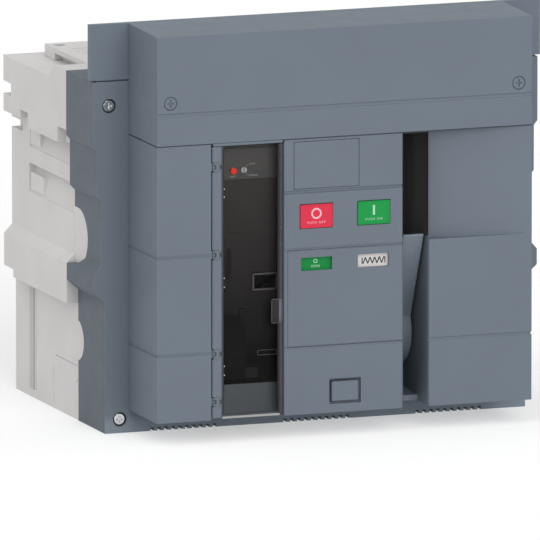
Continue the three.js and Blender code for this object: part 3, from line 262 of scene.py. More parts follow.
# Case plates: smooth satin moulding, warm grey above and slate below, so they part softly from the case.
plateLook = {"tone": 0.04, "relief": 0.006, "rough": 0.48, "sink": 0.02, "fleck": 0.05}
warmSkin = grained("WarmGreyCasePlate", {**plateLook, "colour": "#4f4d4c"})
slateSkin = grained("SlateLowerPlate", {**plateLook, "colour": "#54585d"})
# Rims of display, port and pull: smooth grey plastic whose edges catch the light.
rimSkin = grained("GreyRimPlastic", {
    "colour": "#565351", "tone": 0.04, "grain": 0.6, "relief": 0.005, "rough": 0.42, "sink": 0.01,
    "fleck": 0.05,
})
# Relief on the trip case: its raised lines catch a little light, the round cover stays blacker.
reliefSkin = grained("SoftRelief", {
    "colour": "#201e1d", "grain": 0.6, "relief": 0.005, "rough": 0.45, "sink": 0.01, "specular": 0.15,
})
coverDarkSkin = grained("RoundCoverBlack", {
    "colour": "#0e0d0d", "relief": 0.006, "rough": 0.5, "sink": 0.01, "specular": 0.15,
})
# Display window: black acrylic over an unlit panel, so it stays the deepest black on the part.
displaySkin = grained("BlackDisplayGlass", {
    "colour": "#030303", "tone": 0.1, "relief": 0.002, "rough": 0.45, "specular": 0.1, "drift": 8,
})
# Folded door edge: the smoked sheet seen through its thickness in painted light, grey, slightly shiny, and in
# painted shade darker inside the fold.
foldLook = {"grain": 1.0, "relief": 0.004, "spread": 0.08, "sink": 0.01, "fleck": 0.05}
foldLitSkin = grained("FoldedSheetEdgePaintedLight", {**foldLook, "colour": "#3f4248", "rough": 0.3})
foldShadeSkin = grained("FoldedSheetShade", {**foldLook, "colour": "#2d2c2d", "rough": 0.4, "specular": 0.2})
# Lower edge of the sheet: a painted highlight where its edge catches the light, so it shows as a bright line.
edgeHighlightSkin = grained("PaintedEdgeHighlight", {
    "colour": "#aaa9a8", "tone": 0.02, "grain": 0.5, "relief": 0.003, "rough": 0.3, "sink": 0.01,
    "fleck": 0.03,
})
# Door pull: the sheet is thin and dark here, and one side of it is lit.
pullSkinLook = {"relief": 0.003, "rough": 0.3, "sink": 0.01}
pullSkin = grained("ThinSmokedPull", {**pullSkinLook, "colour": "#1f1e20"})
shineSkin = grained("LitPullSide", {**pullSkinLook, "colour": "#696b7a", "tone": 0.04})
# Shut lines, painted shade: shadow-dark for an open seam, only slightly darker than the panel for a shallow one.
seamSkinLook = {"grain": 0.6, "relief": 0.004, "rough": 0.6, "spread": 0.05, "sink": 0.01}
seamShadeSkin = grained("DarkShutLinePaintedShade", {**seamSkinLook, "colour": "#3f444c"})
faintSeamShadeSkin = grained("ShallowShutLinePaintedShade", {**seamSkinLook, "colour": "#626b75", "tone": 0.04})
# Pocket liner: fascia plastic beside the handle, matt black above a line that falls to the rear, and painted
# light makes it greyer where it gets deep.
pocketFront = boxes["handle_pocket"][0].y
pocketTilt = 0.166
blackFrom = boxes["charging_handle"][1].z - 5.5 * mm + pocketTilt * pocketFront
pocketSkin = grained("TwoTonePocketLinerDeepPaintedLight", {
    "colour": "#6b747e", "tone": 0.03, "grain": 0.9, "relief": 0.012, "rough": 0.52, "fleck": 0.05,
    "tilt": pocketTilt, "upper": ("#2e2d2d", blackFrom, blackFrom + 0.3 * mm),
    "deep": ("#7b7978", pocketFront, pocketFront + 30 * mm),
})
# Charging handle plastic: the fascia colour, polished a little by hands, and painted light makes it paler
# towards the grip.
handlePaintedLightSkin = grained("HandledGripPlasticPaintedLight", {
    "colour": "#6a747e", "tone": 0.04, "grain": 1.0, "relief": 0.012, "rough": 0.42, "spread": 0.09,
    "fleck": 0.06, "patch": 14, "upper": ("#78828d", 110 * mm, 155 * mm),
})
# Button plastics, dyed through and tumbled satin: strong even colour with a soft sheen.
satinLook = {"tone": 0.03, "grain": 0.6, "relief": 0.006, "rough": 0.36, "spread": 0.05, "fleck": 0.04,
             "drift": 12, "patch": 6}
redSkin = grained("SatinRedPlastic", {**satinLook, "colour": "#e23b52", "specular": 0.15})
greenSkin = grained("SatinGreenPlastic", {**satinLook, "colour": "#229b4c", "specular": 0.15})
knobSkin = grained("PaleGreyKnob", {**satinLook, "colour": "#c4c4c4"})
signalSkin = grained("BrightResetRed", {**satinLook, "colour": "#ff3a26", "rough": 0.3})
whiteSkin = grained("SatinWhitePlastic", {
    **satinLook, "colour": "#dfdbd8", "tone": 0.02, "rough": 0.4, "fleck": 0.03, "drift": 10,
})
# Flag faces: screen-printed sheet, flatter than the buttons. Yellow shows when the closing spring is charged.
printedLook = {"tone": 0.03, "grain": 0.5, "relief": 0.004, "rough": 0.42, "spread": 0.05, "fleck": 0.04,
               "drift": 10, "patch": 6}
flagGreen = grained("PrintedGreenFlag", {**printedLook, "colour": "#1c8d45", "specular": 0.15})
yellowSkin = grained("PrintedYellowFlag", {**printedLook, "colour": "#e2b53a"})
# Pad-printed inks: matt and slightly uneven; the colour below tints the pale ones.
inkLook = {"tone": 0.03, "grain": 0.3, "relief": 0.002, "rough": 0.5, "spread": 0.05, "fleck": 0.03,
           "drift": 4, "patch": 3}
pinkInk = grained("PalePrintOnRed", {**inkLook, "colour": "#f6c4c9"})
mintInk = grained("PalePrintOnGreen", {**inkLook, "colour": "#b9e2c6"})
dimInk = grained("DimPrintInk", {**inkLook, "colour": "#9d9c9c"})
blackInk = grained("BlackPadPrint", {**inkLook, "colour": "#3a3634", "tone": 0.05, "fleck": 0.12})
# Drive link resin: red-brown, slightly glossy, with dark resin swirls.
resinSkin = grained("RedBrownResin", {
    "colour": "#8c4030", "tone": 0.12, "grain": 1.4, "relief": 0.02, "rough": 0.34, "spread": 0.08,
})
# Varnished winding on its bobbin: warm brown turns under a clear coat.
coilSkin = grained("VarnishedWinding", {
    "colour": "#8a5a34", "tone": 0.15, "grain": 0.7, "relief": 0.03, "rough": 0.3, "coat": 0.6,
})
# Chromed screw heads: bright with fine turned lines and a few dull spots.
chromeSkin = plated("BrightChrome", {
    "colour": "#eceef0", "second": "#d9dcdf", "line": 0.5, "along": (1, 1, 0.2), "rough": 0.11,
    "spread": 0.04, "relief": 0.004, "cloud": 3,
})
# Zinc plate: soft blue-grey metal with clouds of passivation.
zincSkin = plated("ZincPlatedSteel", {
    "colour": "#b3b8bd", "second": "#9a9fa2", "line": 0.7, "along": (1, 1, 0.08), "rough": 0.36,
    "spread": 0.07, "relief": 0.01, "cloud": 9,
})
# Silvered copper: warm white metal with faint tarnish.
silverSkin = plated("SilveredCopper", {
    "colour": "#dcd8d0", "second": "#cbc4b7", "line": 0.6, "along": (0.1, 1, 1), "rough": 0.3,
    "spread": 0.07, "relief": 0.008, "cloud": 26,
})
# Polycarbonate door: an extruded clear sheet with a faint wiped haze, which mirrors only when seen aslant.
windowSkin = smokedSheet("SmokedPolycarbonate", {
    "tint": "#ffffff", "second": "#fafafa", "haze": "#cfd2d6", "hazed": (0.0005, 0.005),
    "shine": "#a0a0a0", "rough": (0.3, 0.4), "ior": 1.45, "facing": 0.042, "gloss": 0.8,
    "smear": 18, "wave": 60, "waveDepth": 0.01,
})
print("materials made")

# skin and edge width in mm for each slot
slotSkins = {
    "dark_plastic": (basePaintedLightShadeSkin, 0.5), "fascia_plastic": (fasciaSkin, 0.45),
    "housing_plastic": (housingSkin, 0.5), "black_plastic": (blackSkin, 0.3),
    "handle_plastic": (handlePaintedLightSkin, 0.6), "smoked_window": (windowSkin, 0.2),
    "display_glass": (displaySkin, 0.15), "red_plastic": (redSkin, 0.4),
    "green_plastic": (greenSkin, 0.4), "white_plastic": (whiteSkin, 0.15),
    "chromed_steel": (chromeSkin, 0.25), "zinc_plated_steel": (zincSkin, 0.25),
    "silvered_copper": (silverSkin, 0.4), "link_resin": (resinSkin, 0.5), "coil_winding": (coilSkin, 0.3),
}
# nodes that differ from their slot's skin
ownSkins = {"handle_pocket": pocketSkin, "trip_unit": casePaintedReflectionSkin, "contact_indicator": flagGreen,
            "test_port_plug": casePaintedReflectionSkin, "reset_button": signalSkin, "mode_selector": knobSkin}
nodeSlots = {row["node"]: row["material_slot"] for row in frame["record"]["subparts"]}
# the weld in mm, and the angle in degrees past which a corner is rounded
edgeLook = {"weld": 0.002, "segments": 2, "sharperThan": 38}


def softenEdges(piece, width):
    # joins the split corners, then rounds each real edge
    piece.modifiers.new("Joined", "WELD").merge_threshold = edgeLook["weld"] * mm
    rounded = piece.modifiers.new("Rounded", "BEVEL")
    rounded.width = width * mm
    rounded.segments = edgeLook["segments"]
    rounded.limit_method = "ANGLE"
    rounded.angle_limit = math.radians(edgeLook["sharperThan"])
    rounded.use_clamp_overlap = True
    rounded.miter_outer = "MITER_ARC"


for nodeName, slotName in nodeSlots.items():
    nodeSkin, edgeWidth = slotSkins[slotName]
    node = frame["nodes"][nodeName]
    node.data.materials.clear()
    node.data.materials.append(ownSkins.get(nodeName, nodeSkin))
    softenEdges(node, edgeWidth)
print("CAD nodes dressed:", len(nodeSlots))


def addBlock(bm, low, high, radius=0.0, segments=2, edges=None):
    # a block between two corners in mm; edges picks the edges to round by their direction
    low, high = Vector(low) * mm, Vector(high) * mm
    centre, size = (low + high) / 2, high - low
    made = bmesh.ops.create_cube(bm, size=1, matrix=Matrix.Translation(centre) @ Matrix.Diagonal((*size, 1)))
    if radius:
        rounded = {e for v in made["verts"] for e in v.link_edges}
        if edges is not None:
            rounded = {e for e in rounded
                       if abs((e.verts[0].co - e.verts[1].co).normalized().dot(Vector(edges))) > 0.9}
        bmesh.ops.bevel(bm, geom=list(rounded), affect="EDGES", offset=radius * mm, segments=segments,
                        profile=0.5, material=-1)


def addDisc(bm, centre, radius, depth, sides=40):
    # a round piece whose axis runs front to back; centre is the middle of its front face in mm
    middle = Vector(centre) * mm + Vector((0, depth / 2 * mm, 0))
    turn = Matrix.Rotation(math.radians(90), 4, "X")
    bmesh.ops.create_cone(bm, cap_ends=True, segments=sides, radius1=radius * mm, radius2=radius * mm,
                          depth=depth * mm, matrix=Matrix.Translation(middle) @ turn)


def addRing(bm, centre, outer, inner, depth, sides=48):
    # a flat ring facing the front, drawn back to its depth
    turn = Matrix.Translation(Vector(centre) * mm) @ Matrix.Rotation(math.radians(90), 4, "X")
    rims = [bmesh.ops.create_circle(bm, segments=sides, radius=r * mm, matrix=turn)["verts"]
            for r in (outer, inner)]
    loops = list({e for rim in rims for v in rim for e in v.link_edges})
    faces = bmesh.ops.bridge_loops(bm, edges=loops)["faces"]
    grown = bmesh.ops.extrude_face_region(bm, geom=faces)["geom"]
    moved = [g for g in grown if isinstance(g, bmesh.types.BMVert)]
    bmesh.ops.translate(bm, verts=moved, vec=(0, depth * mm, 0))


def addStroke(bm, start, end, width, depth):
    # a straight inked line between two points on a front face
    start, end = Vector(start) * mm, Vector(end) * mm
    along = end - start
    turn = Matrix.Rotation(-math.atan2(along.z, along.x), 4, "Y")
    centre = (start + end) / 2 + Vector((0, depth / 2 * mm, 0))
    size = Matrix.Diagonal((along.length, depth * mm, width * mm, 1))
    bmesh.ops.create_cube(bm, size=1, matrix=Matrix.Translation(centre) @ turn @ size)


def addTray(bm, low, high, corner, rim, depth):
    # a block whose front face keeps a rim and sinks inside it; the sunk floor takes the second material
    addBlock(bm, low, high, corner, 4, (0, 1, 0))
    bm.faces.ensure_lookup_table()
    face = min(bm.faces, key=lambda f: (f.normal.y, -f.calc_area()))
    bmesh.ops.inset_region(bm, faces=[face], thickness=rim * mm, use_even_offset=True)
    grown = bmesh.ops.extrude_discrete_faces(bm, faces=[face])["faces"]
    bmesh.ops.translate(bm, verts=grown[0].verts, vec=(0, depth * mm, 0))
    grown[0].material_index = 1


def addHull(bm, rounds, low, high):
    # the smallest solid round several bars that run from low to high along X; each is (y, z, radius)
    turn = Matrix.Rotation(math.radians(90), 4, "Y")
    verts = []
    for y, z, radius in rounds:
        for x in (low, high):
            spot = Matrix.Translation(Vector((x, y, z)) * mm)
            verts += bmesh.ops.create_circle(bm, segments=48, radius=radius * mm, matrix=spot @ turn)["verts"]
    made = bmesh.ops.convex_hull(bm, input=verts)
    loose = [g for g in made["geom_interior"] if isinstance(g, bmesh.types.BMVert)]
    bmesh.ops.delete(bm, geom=loose, context="VERTS")


def placePiece(name, mesh, body, skins):
    for skin in skins:
        mesh.materials.append(skin)
    piece = bpy.data.objects.new(name, mesh)
    bpy.context.scene.collection.objects.link(piece)
    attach(piece, body)
    return piece


def makePiece(name, bm, body, slotName, *skins):
    mesh = bpy.data.meshes.new(name)
    bmesh.ops.recalc_face_normals(bm, faces=bm.faces)
    bm.to_mesh(mesh)
    bm.free()
    return placePiece(name, mesh, body, skins)


def makeBlock(name, low, high, body, slotName, skin, *rounding):
    bm = bmesh.new()
    addBlock(bm, low, high, *rounding)
    makePiece(name, bm, body, slotName, skin)


def letter(name, words, place, look, body, skin):
    # printed words that face the front: place is the middle of the line in mm
    curve = bpy.data.curves.new(name, "FONT")
    curve.body = words
    curve.align_x = "CENTER"
    curve.align_y = "CENTER"
    curve.size = look["size"] * mm
    curve.space_character = look["spacing"]
    curve.offset = look["weight"] * mm
    curve.extrude = look["ink"] / 2 * mm
    curve.resolution_u = 3
    source = bpy.data.objects.new(name + "Line", curve)
    bpy.context.scene.collection.objects.link(source)
    bpy.context.view_layer.update()
    mesh = bpy.data.meshes.new_from_object(source.evaluated_get(bpy.context.evaluated_depsgraph_get()))
    bpy.data.objects.remove(source)
    mesh.transform(Matrix.Translation(Vector(place) * mm) @ Matrix.Rotation(math.radians(90), 4, "X"))
    mesh.materials.clear()
    mesh.name = name
    placePiece(name, mesh, body, [skin])


def millimetres(node):
    low, high = boxes[node]
    return low * 1000, high * 1000, (low + high) * 500


# Every look from here on is in mm, unless its note says otherwise.
# push buttons: a thin rim round a slightly sunk face, the sign and words printed on it
buttonLook = {"corner": 0.9, "rim": 0.9, "sunk": 0.3, "stem": 8.0, "stemRadius": 5, "ring": (4.8, 3.3),
              "bar": (1.9, 8.4), "signUp": 2.2, "wordsDown": 5.8, "ink": 0.1, "words": {"size": 2.9,
              "spacing": 1.4, "weight": 0.0, "ink": 0.1}}


def pushButton(node, words, skin, ink, body, slotName):
    low, high, middle = millimetres(node)
    stem, deep = buttonLook["stem"], buttonLook["ink"]
    cap = bmesh.new()
    addTray(cap, low, (high.x, high.y - stem, high.z), buttonLook["corner"], buttonLook["rim"],
            buttonLook["sunk"])
    for face in cap.faces:
        face.material_index = 0
    addDisc(cap, (middle.x, high.y - stem, middle.z), buttonLook["stemRadius"], stem, 24)
    piece = makePiece(node + "Cap", cap, body, slotName, skin)
    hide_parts(node)
    front = low.y + buttonLook["sunk"] - deep
    signHeight = middle.z + buttonLook["signUp"]
    sign = bmesh.new()
    if words.endswith("OFF"):
        addRing(sign, (middle.x, front, signHeight), *buttonLook["ring"], deep)
    else:
        wide, tall = buttonLook["bar"]
        addBlock(sign, (middle.x - wide / 2, front, signHeight - tall / 2),
                 (middle.x + wide / 2, front + deep, signHeight + tall / 2))
    makePiece(node + "Sign", sign, body, slotName, ink)
    letter(node + "Words", words, (middle.x, front + deep / 2, middle.z - buttonLook["wordsDown"]),
           buttonLook["words"], body, ink)


pushButton("off_button", "PUSH OFF", redSkin, pinkInk, "off_button_body", "red_plastic")
pushButton("on_button", "PUSH ON", greenSkin, mintInk, "on_button_body", "green_plastic")

# Sliding flags: the lower half shows at rest, the upper half when the flag has dropped by its travel.
# The upper half is a thin plate, and the ink on it stands proud of that plate.
flagLook = {"ink": 0.12, "plate": 0.1, "plateInset": 0.2, "upperInk": 0.22, "windowDown": 1.2,
            "windowHigh": 11.6, "travel": 12.8, "stroke": 1.0, "bar": (1.3, 3.4), "ring": (1.9, 1.2),
            "ringUp": 2.0, "wordDown": 2.6,
            "word": {"size": 2.9, "spacing": 1.15, "weight": 0.02, "ink": 0.12}}
springLook = {"half": 10.5, "chargedHalf": 5.25, "high": 2.7, "gap": 0.85, "turns": 4,
              "shift": (1.2, 0, -0.4)}


def flagCentre(node, dropped):
    low, _, middle = millimetres(node)
    rise = flagLook["travel"] if dropped else 0
    return Vector((middle.x, low.y, low.z + flagLook["windowDown"] + flagLook["windowHigh"] / 2 + rise))


def upperFace(node, body, skin):
    low, high, _ = millimetres(node)
    inset = flagLook["plateInset"]
    makeBlock(node + "UpperFace", (low.x + inset, low.y - flagLook["plate"], low.z + flagLook["travel"]),
              (high.x - inset, low.y, high.z - inset), body, "white_plastic", skin)


def springSign(name, centre, half, proud):
    # a zigzag between two upright end bars
    bm = bmesh.new()
    front, tall = centre.y - proud, springLook["high"]
    span = half - springLook["gap"]
    steps = springLook["turns"] * 2 + 1
    lines = [[(centre.x + x, front, centre.z + z) for z in (-tall, tall)] for x in (-half, half)]
    points = [(centre.x - span + 2 * span * i / steps, front, centre.z + (tall if i % 2 else -tall))
              for i in range(steps + 1)]
    for start, end in [*lines, *zip(points, points[1:])]:
        addStroke(bm, start, end, flagLook["stroke"], flagLook["ink"])
    makePiece(name, bm, "spring_flag", "black_plastic", blackInk)


def contactFlagPrint():
    ink, proud = flagLook["ink"], flagLook["upperInk"]
    at = flagCentre("contact_indicator", False)
    ring = bmesh.new()
    addRing(ring, (at.x, at.y - ink, at.z + flagLook["ringUp"]), *flagLook["ring"], ink)
    makePiece("openSign", ring, "contact_flag", "white_plastic", mintInk)
    letter("openWord", "OPEN", (at.x, at.y - ink / 2, at.z - flagLook["wordDown"]), flagLook["word"],
           "contact_flag", mintInk)
    at = flagCentre("contact_indicator", True)
    wide, tall = flagLook["bar"]
    bar = bmesh.new()
    addStroke(bar, (at.x, at.y - proud, at.z - tall), (at.x, at.y - proud, at.z + tall), wide, ink)
    makePiece("closedSign", bar, "contact_flag", "black_plastic", blackInk)


upperFace("contact_indicator", "contact_flag", whiteSkin)
upperFace("spring_indicator", "spring_flag", yellowSkin)
contactFlagPrint()
springSign("springSign", flagCentre("spring_indicator", False) + Vector(springLook["shift"]),
           springLook["half"], flagLook["ink"])
springSign("chargedSign", flagCentre("spring_indicator", True), springLook["chargedHalf"],
           flagLook["upperInk"])
print("buttons and flags made")

# charging handle: a lever that narrows from its round hub to the grip; "sharperThan" is in degrees
leverLook = {"tip": 1.4, "tipDown": 4.2, "wider": 0.8, "grip": 15, "gripDown": 4, "rootFront": (-25, 10),
             "rootBack": (24, 14), "rootRound": 3, "edge": 0.7, "sharperThan": 50}


def chargingLever():
    low, high, _ = millimetres("charging_handle")
    axis = Vector(next(j for j in frame["joints"] if j["name"] == "charging_pull")["pos_m"]) * 1000
    left, right = low.x - leverLook["wider"], high.x + leverLook["wider"]
    tip, tipHeight = leverLook["tip"], high.z - leverLook["tipDown"]
    roots = [(axis.y + y, axis.z + z, leverLook["rootRound"])
             for y, z in (leverLook["rootFront"], leverLook["rootBack"])]
    bm = bmesh.new()
    addHull(bm, [(axis.y, axis.z, axis.z - low.z)], left, right)
    addHull(bm, [(low.y + tip, tipHeight - tip, tip),
                 (low.y + leverLook["grip"], tipHeight - leverLook["gripDown"], tip), *roots], left, right)
    bmesh.ops.dissolve_limit(bm, angle_limit=math.radians(1), verts=bm.verts, edges=bm.edges)
    sharp = [e for e in bm.edges
             if len(e.link_faces) == 2 and e.calc_face_angle() > math.radians(leverLook["sharperThan"])]
    bmesh.ops.bevel(bm, geom=sharp, affect="EDGES", offset=leverLook["edge"] * mm, segments=3, profile=0.5,
                    material=-1)
    piece = makePiece("chargingLever", bm, "charging_lever", "handle_plastic", handlePaintedLightSkin)
    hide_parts("charging_handle")


# the liner it swings in: thin walls and a floor that starts behind a lip and rises to the rear
linerLook = {"wall": 0.4, "floor": 2.0, "floorUp": 2, "floorRise": 6.0, "floorBack": 26, "lip": 5,
             "lipThick": (1, 0.6), "round": 0.5}


def pocketLiner():
    low, high, _ = millimetres("handle_pocket")
    wall, start, base = linerLook["wall"], low.y + linerLook["floorBack"], low.z + linerLook["floorUp"]
    bm = bmesh.new()
    for x in (low.x, high.x - wall):
        addBlock(bm, (x, low.y, low.z), (x + wall, high.y, high.z))
    addBlock(bm, (low.x, high.y - wall, low.z), (high.x, high.y, high.z))
    addBlock(bm, (low.x, low.y, high.z - wall), (high.x, high.y, high.z))
    walls = set(bm.verts)
    addBlock(bm, (low.x, start, base), (high.x, high.y, base + linerLook["floor"]), linerLook["round"], 2,
             (1, 0, 0))
    rear = [v for v in set(bm.verts) - walls if v.co.y > (low.y + high.y) / 2 * mm]
    bmesh.ops.translate(bm, verts=rear, vec=(0, 0, linerLook["floorRise"] * mm))
    before, after = linerLook["lipThick"]
    addBlock(bm, (low.x, start - before, low.z), (high.x, start + after, low.z + linerLook["lip"]),
             linerLook["round"], 2, (1, 0, 0))
    piece = makePiece("pocketLiner", bm, "base", "black_plastic", pocketSkin)
    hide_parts("handle_pocket")


chargingLever()
pocketLiner()
print("handle and pocket made")

# Trip unit behind the smoked door. Heights are from its foot, places across from its left side. Each hole of
# the port has its two ends from the port's left side, its margin above and below, and its corner.
tripLook = {"upperStart": 31.4, "lowerTop": 26.4, "plate": 0.25, "plateInset": 0.2, "plateRound": 0.1,
            "face": 1.5}
rimLook = {"rim": 1.6, "out": 0.65, "proud": 0.6, "behind": 0.2, "sunk": 0.4, "corner": 0.5}
portLook = {"wide": 17.8, "inset": 0.3, "low": 50.2, "high": 54.8, "proud": 0.6, "corner": 0.4, "rim": 0.5,
            "sunk": 0.4, "holeDepth": (0.35, 0.2),
            "holes": ((2.3, 4.9, 1.2, 0.3), (12.6, 15.2, 1.2, 0.3), (7, 10.5, 2, 0.2))}
reliefLook = {"lines": (158.6, 54.4, 42), "line": 0.35, "lineIn": 1, "lineProud": 0.15, "proud": 0.12,
              "slots": ((8, 122, 150), (16, 118, 146)), "slotWide": 4.5, "slotRound": 2.2,
              "pads": ((4, 12), (33, 45)), "padHeights": (31, 40), "padRound": 1.0,
              "upright": (34.5, 34.9, 56, 84), "cover": (0.3, 33, 30, 88), "coverRound": 14,
              "coverProud": (0.1, 0.02)}
tripPrint = {"size": 1.95, "spacing": 1.08, "weight": 0.04, "ink": 0.08}
tripWordsAt = {"reset": (0, -5.0), "auto": (7.4, 5.0), "manual": (8.6, -5.0),
               "mark": ((1.6, 3.0), (3.6, 5.0)), "markWide": 0.3}


def tripPlates():
    low, high, _ = millimetres("trip_unit")
    inset, front = tripLook["plateInset"], low.y - tripLook["plate"]
    for name, bottom, top, skin in (
            ("tripUpperPlate", high.z - tripLook["upperStart"], high.z, warmSkin),
            ("tripLowerPlate", low.z, low.z + tripLook["lowerTop"], slateSkin)):
        makeBlock(name, (low.x + inset, front, bottom), (high.x - inset, low.y, top), "base", "black_plastic",
                  skin, tripLook["plateRound"], 1)


def displayRim():
    low, high, _ = millimetres("trip_display")
    bm = bmesh.new()
    addTray(bm, (low.x - rimLook["out"], low.y - rimLook["proud"], low.z),
            (high.x, low.y + rimLook["behind"], high.z), rimLook["corner"], rimLook["rim"], rimLook["sunk"])
    makePiece("displayRim", bm, "base", "display_glass", rimSkin, displaySkin)


def servicePort():
    low, high, _ = millimetres("trip_unit")
    face = low.y + tripLook["face"]
    left, right = high.x - portLook["wide"], high.x - portLook["inset"]
    bottom, top = low.z + portLook["low"], low.z + portLook["high"]
    tray, holes = bmesh.new(), bmesh.new()
    addTray(tray, (left, face - portLook["proud"], bottom), (right, face, top), portLook["corner"],
            portLook["rim"], portLook["sunk"])
    makePiece("servicePort", tray, "base", "black_plastic", rimSkin, casePaintedReflectionSkin)
    # the holes are painted shade: flat black blocks for the shade inside each hole
    near, far = portLook["holeDepth"]
    for start, end, margin, corner in portLook["holes"]:
        addBlock(holes, (left + start, face - near, bottom + margin), (left + end, face - far, top - margin),
                 corner, 2, (0, 1, 0))
    makePiece("servicePortHoleShade", holes, "base", "display_glass", displaySkin)


def tripRelief():
    low, high, _ = millimetres("trip_unit")
    face, proud, lineIn = low.y + tripLook["face"], reliefLook["proud"], reliefLook["lineIn"]
    relief, cover = bmesh.new(), bmesh.new()

    def raised(bm, left, right, bottom, top, rise, *rounding, sunk=0):
        addBlock(bm, (low.x + left, face - rise, low.z + bottom), (low.x + right, face - sunk, low.z + top),
                 *rounding)

    for height in reliefLook["lines"]:
        raised(relief, lineIn, high.x - portLook["wide"] - lineIn - low.x, height,
               height + reliefLook["line"], reliefLook["lineProud"])
    for left, bottom, top in reliefLook["slots"]:
        raised(relief, left, left + reliefLook["slotWide"], bottom, top, proud, reliefLook["slotRound"], 6,
               (0, 1, 0))
    for left, right in reliefLook["pads"]:
        raised(relief, left, right, *reliefLook["padHeights"], proud, reliefLook["padRound"], 4, (0, 1, 0))
    raised(relief, *reliefLook["upright"], proud)
    makePiece("tripSeams", relief, "base", "black_plastic", reliefSkin)
    coverProud, coverSunk = reliefLook["coverProud"]
    raised(cover, *reliefLook["cover"], coverProud, reliefLook["coverRound"], 12, (0, 1, 0), sunk=coverSunk)
    makePiece("tripRoundCover", cover, "base", "black_plastic", coverDarkSkin)


def tripWords():
    ink = tripPrint["ink"]
    plateFront = millimetres("trip_unit")[0].y - tripLook["plate"]
    resetAt, modeAt = millimetres("reset_button")[2], millimetres("mode_selector")[2]
    for key, at in (("reset", resetAt), ("auto", modeAt), ("manual", modeAt)):
        across, up = tripWordsAt[key]
        letter(key + "Word", key.upper(), (at.x + across, plateFront - ink / 2, at.z + up), tripPrint, "base",
               dimInk)
    bm = bmesh.new()
    for side in (-1, 1):
        start, end = [(modeAt.x + x, plateFront - ink, modeAt.z + side * z) for x, z in tripWordsAt["mark"]]
        addStroke(bm, start, end, tripWordsAt["markWide"], ink)
    makePiece("modeMarks", bm, "base", "white_plastic", dimInk)


tripPlates()
displayRim()
servicePort()
tripRelief()
tripWords()
print("trip unit made")

# Door. Heights are from the window's foot: pins along the hinge side, a folded edge in painted light and
# shade by the latch side, the latch spots, a painted highlight on the lower edge and the pull. What is printed
# or laid on stands proud of the sheet.
doorLook = {"proud": 0.06, "over": 0.03, "behind": 0.01, "pullGap": 0.1,
            "pins": (200.3, 193.3, 122.1, 114.2, 44.8, 36.9), "pin": 0.55, "pinIn": 3.0, "pinFrom": 2.7,
            "pinLong": 1.4, "edgeWide": 2.9, "shadeWide": 1.9, "edgeIn": 0.2, "joint": (0.6, 1.2),
            "latches": (13, 228), "latch": 0.8, "latchIn": 2.3, "latchThick": 0.05, "lip": 1.9,
            "lipDrop": 0.8, "lipDeep": 2}
pullLook = {"heights": (80.2, 101.6), "wide": 10.4, "right": 0.1, "front": 0.2, "back": 1.15, "corner": 1.0,
            "rim": 0.5, "sunk": 0.9, "bright": 2.8, "brightIn": 0.45, "brightEnds": 0.6,
            "brightFrom": (0.55, 0.7)}


def doorDetails():
    low, high, _ = millimetres("cover_window")
    front, inset, gap = low.y - doorLook["proud"], doorLook["edgeIn"], doorLook["pullGap"]
    over, behind = front - doorLook["over"], doorLook["behind"]
    pins, edge, shade, latches = (bmesh.new() for _ in range(4))
    for height in doorLook["pins"]:
        addDisc(pins, (low.x + doorLook["pinIn"], low.y + doorLook["pinFrom"], low.z + height),
                doorLook["pin"], doorLook["pinLong"], 16)
    makePiece("doorPins", pins, "cover", "chromed_steel", chromeSkin)
    bottom, top = pullLook["heights"]
    left = high.x - doorLook["edgeWide"]
    # the edge band is painted light for the folded sheet, the strip beside it painted shade inside the fold
    for start, end in ((low.z + inset, low.z + bottom - gap), (low.z + top + gap, high.z - inset)):
        addBlock(edge, (left, front, start), (high.x - inset, low.y, end))
        addBlock(shade, (left - doorLook["shadeWide"], front + behind, start), (left, low.y, end))
    makePiece("doorEdgeLitBand", edge, "cover", "smoked_window", foldLitSkin)
    makePiece("doorEdgeShade", shade, "cover", "smoked_window", foldShadeSkin)
    # the joint strip is painted light laid over the dark line at the window's hinge-side edge
    before, after = doorLook["joint"]
    makeBlock("doorJointPaintedLight", (low.x - before, front, low.z + inset),
              (low.x + after, low.y - behind, high.z - inset), "cover", "smoked_window", foldLitSkin)
    for height in doorLook["latches"]:
        addDisc(latches, (high.x - doorLook["latchIn"], over, low.z + height),
                doorLook["latch"], doorLook["latchThick"], 20)
    makePiece("doorLatches", latches, "cover", "black_plastic", blackSkin)
    # the lower edge strip is a painted highlight where the sheet's edge catches the light
    foot = low.z - doorLook["lipDrop"]
    makeBlock("doorLowerEdgeHighlight", (low.x + inset, over, foot),
              (left, low.y + doorLook["lipDeep"], foot + doorLook["lip"]), "cover", "smoked_window",
              edgeHighlightSkin)


def doorPull():
    low, high, _ = millimetres("cover_window")
    bottom, top = (low.z + height for height in pullLook["heights"])
    pull = bmesh.new()
    addTray(pull, (high.x - pullLook["wide"], low.y - pullLook["front"], bottom),
            (high.x - pullLook["right"], low.y + pullLook["back"], top), pullLook["corner"], pullLook["rim"],
            pullLook["sunk"])
    right, ends = high.x - pullLook["brightIn"], pullLook["brightEnds"]
    near, far = pullLook["brightFrom"]
    makeBlock("doorPullShine", (right - pullLook["bright"], low.y + near, bottom + ends),
              (right, low.y + far, top - ends), "cover", "smoked_window", shineSkin)
    makePiece("doorPull", pull, "cover", "smoked_window", rimSkin, pullSkin)


doorDetails()
doorPull()

# Round the door: the rail above it, a header over the trip unit, the bay's side wall in painted light and the
# shut line on the latch side filled with painted shade. Each row is measured from the pieces beside it.
roundLook = {"rail": (0.5, 2.9), "railIn": 0.1, "railDeep": 3, "railRound": 0.2, "header": (0.25, 2),
             "headerUp": 2.6, "headerIn": 1, "headerGap": 0.05, "liner": (5, 8), "linerIn": 0.25,
             "linerUp": 1, "filler": (0.25, 2), "fillerIn": 0.35}


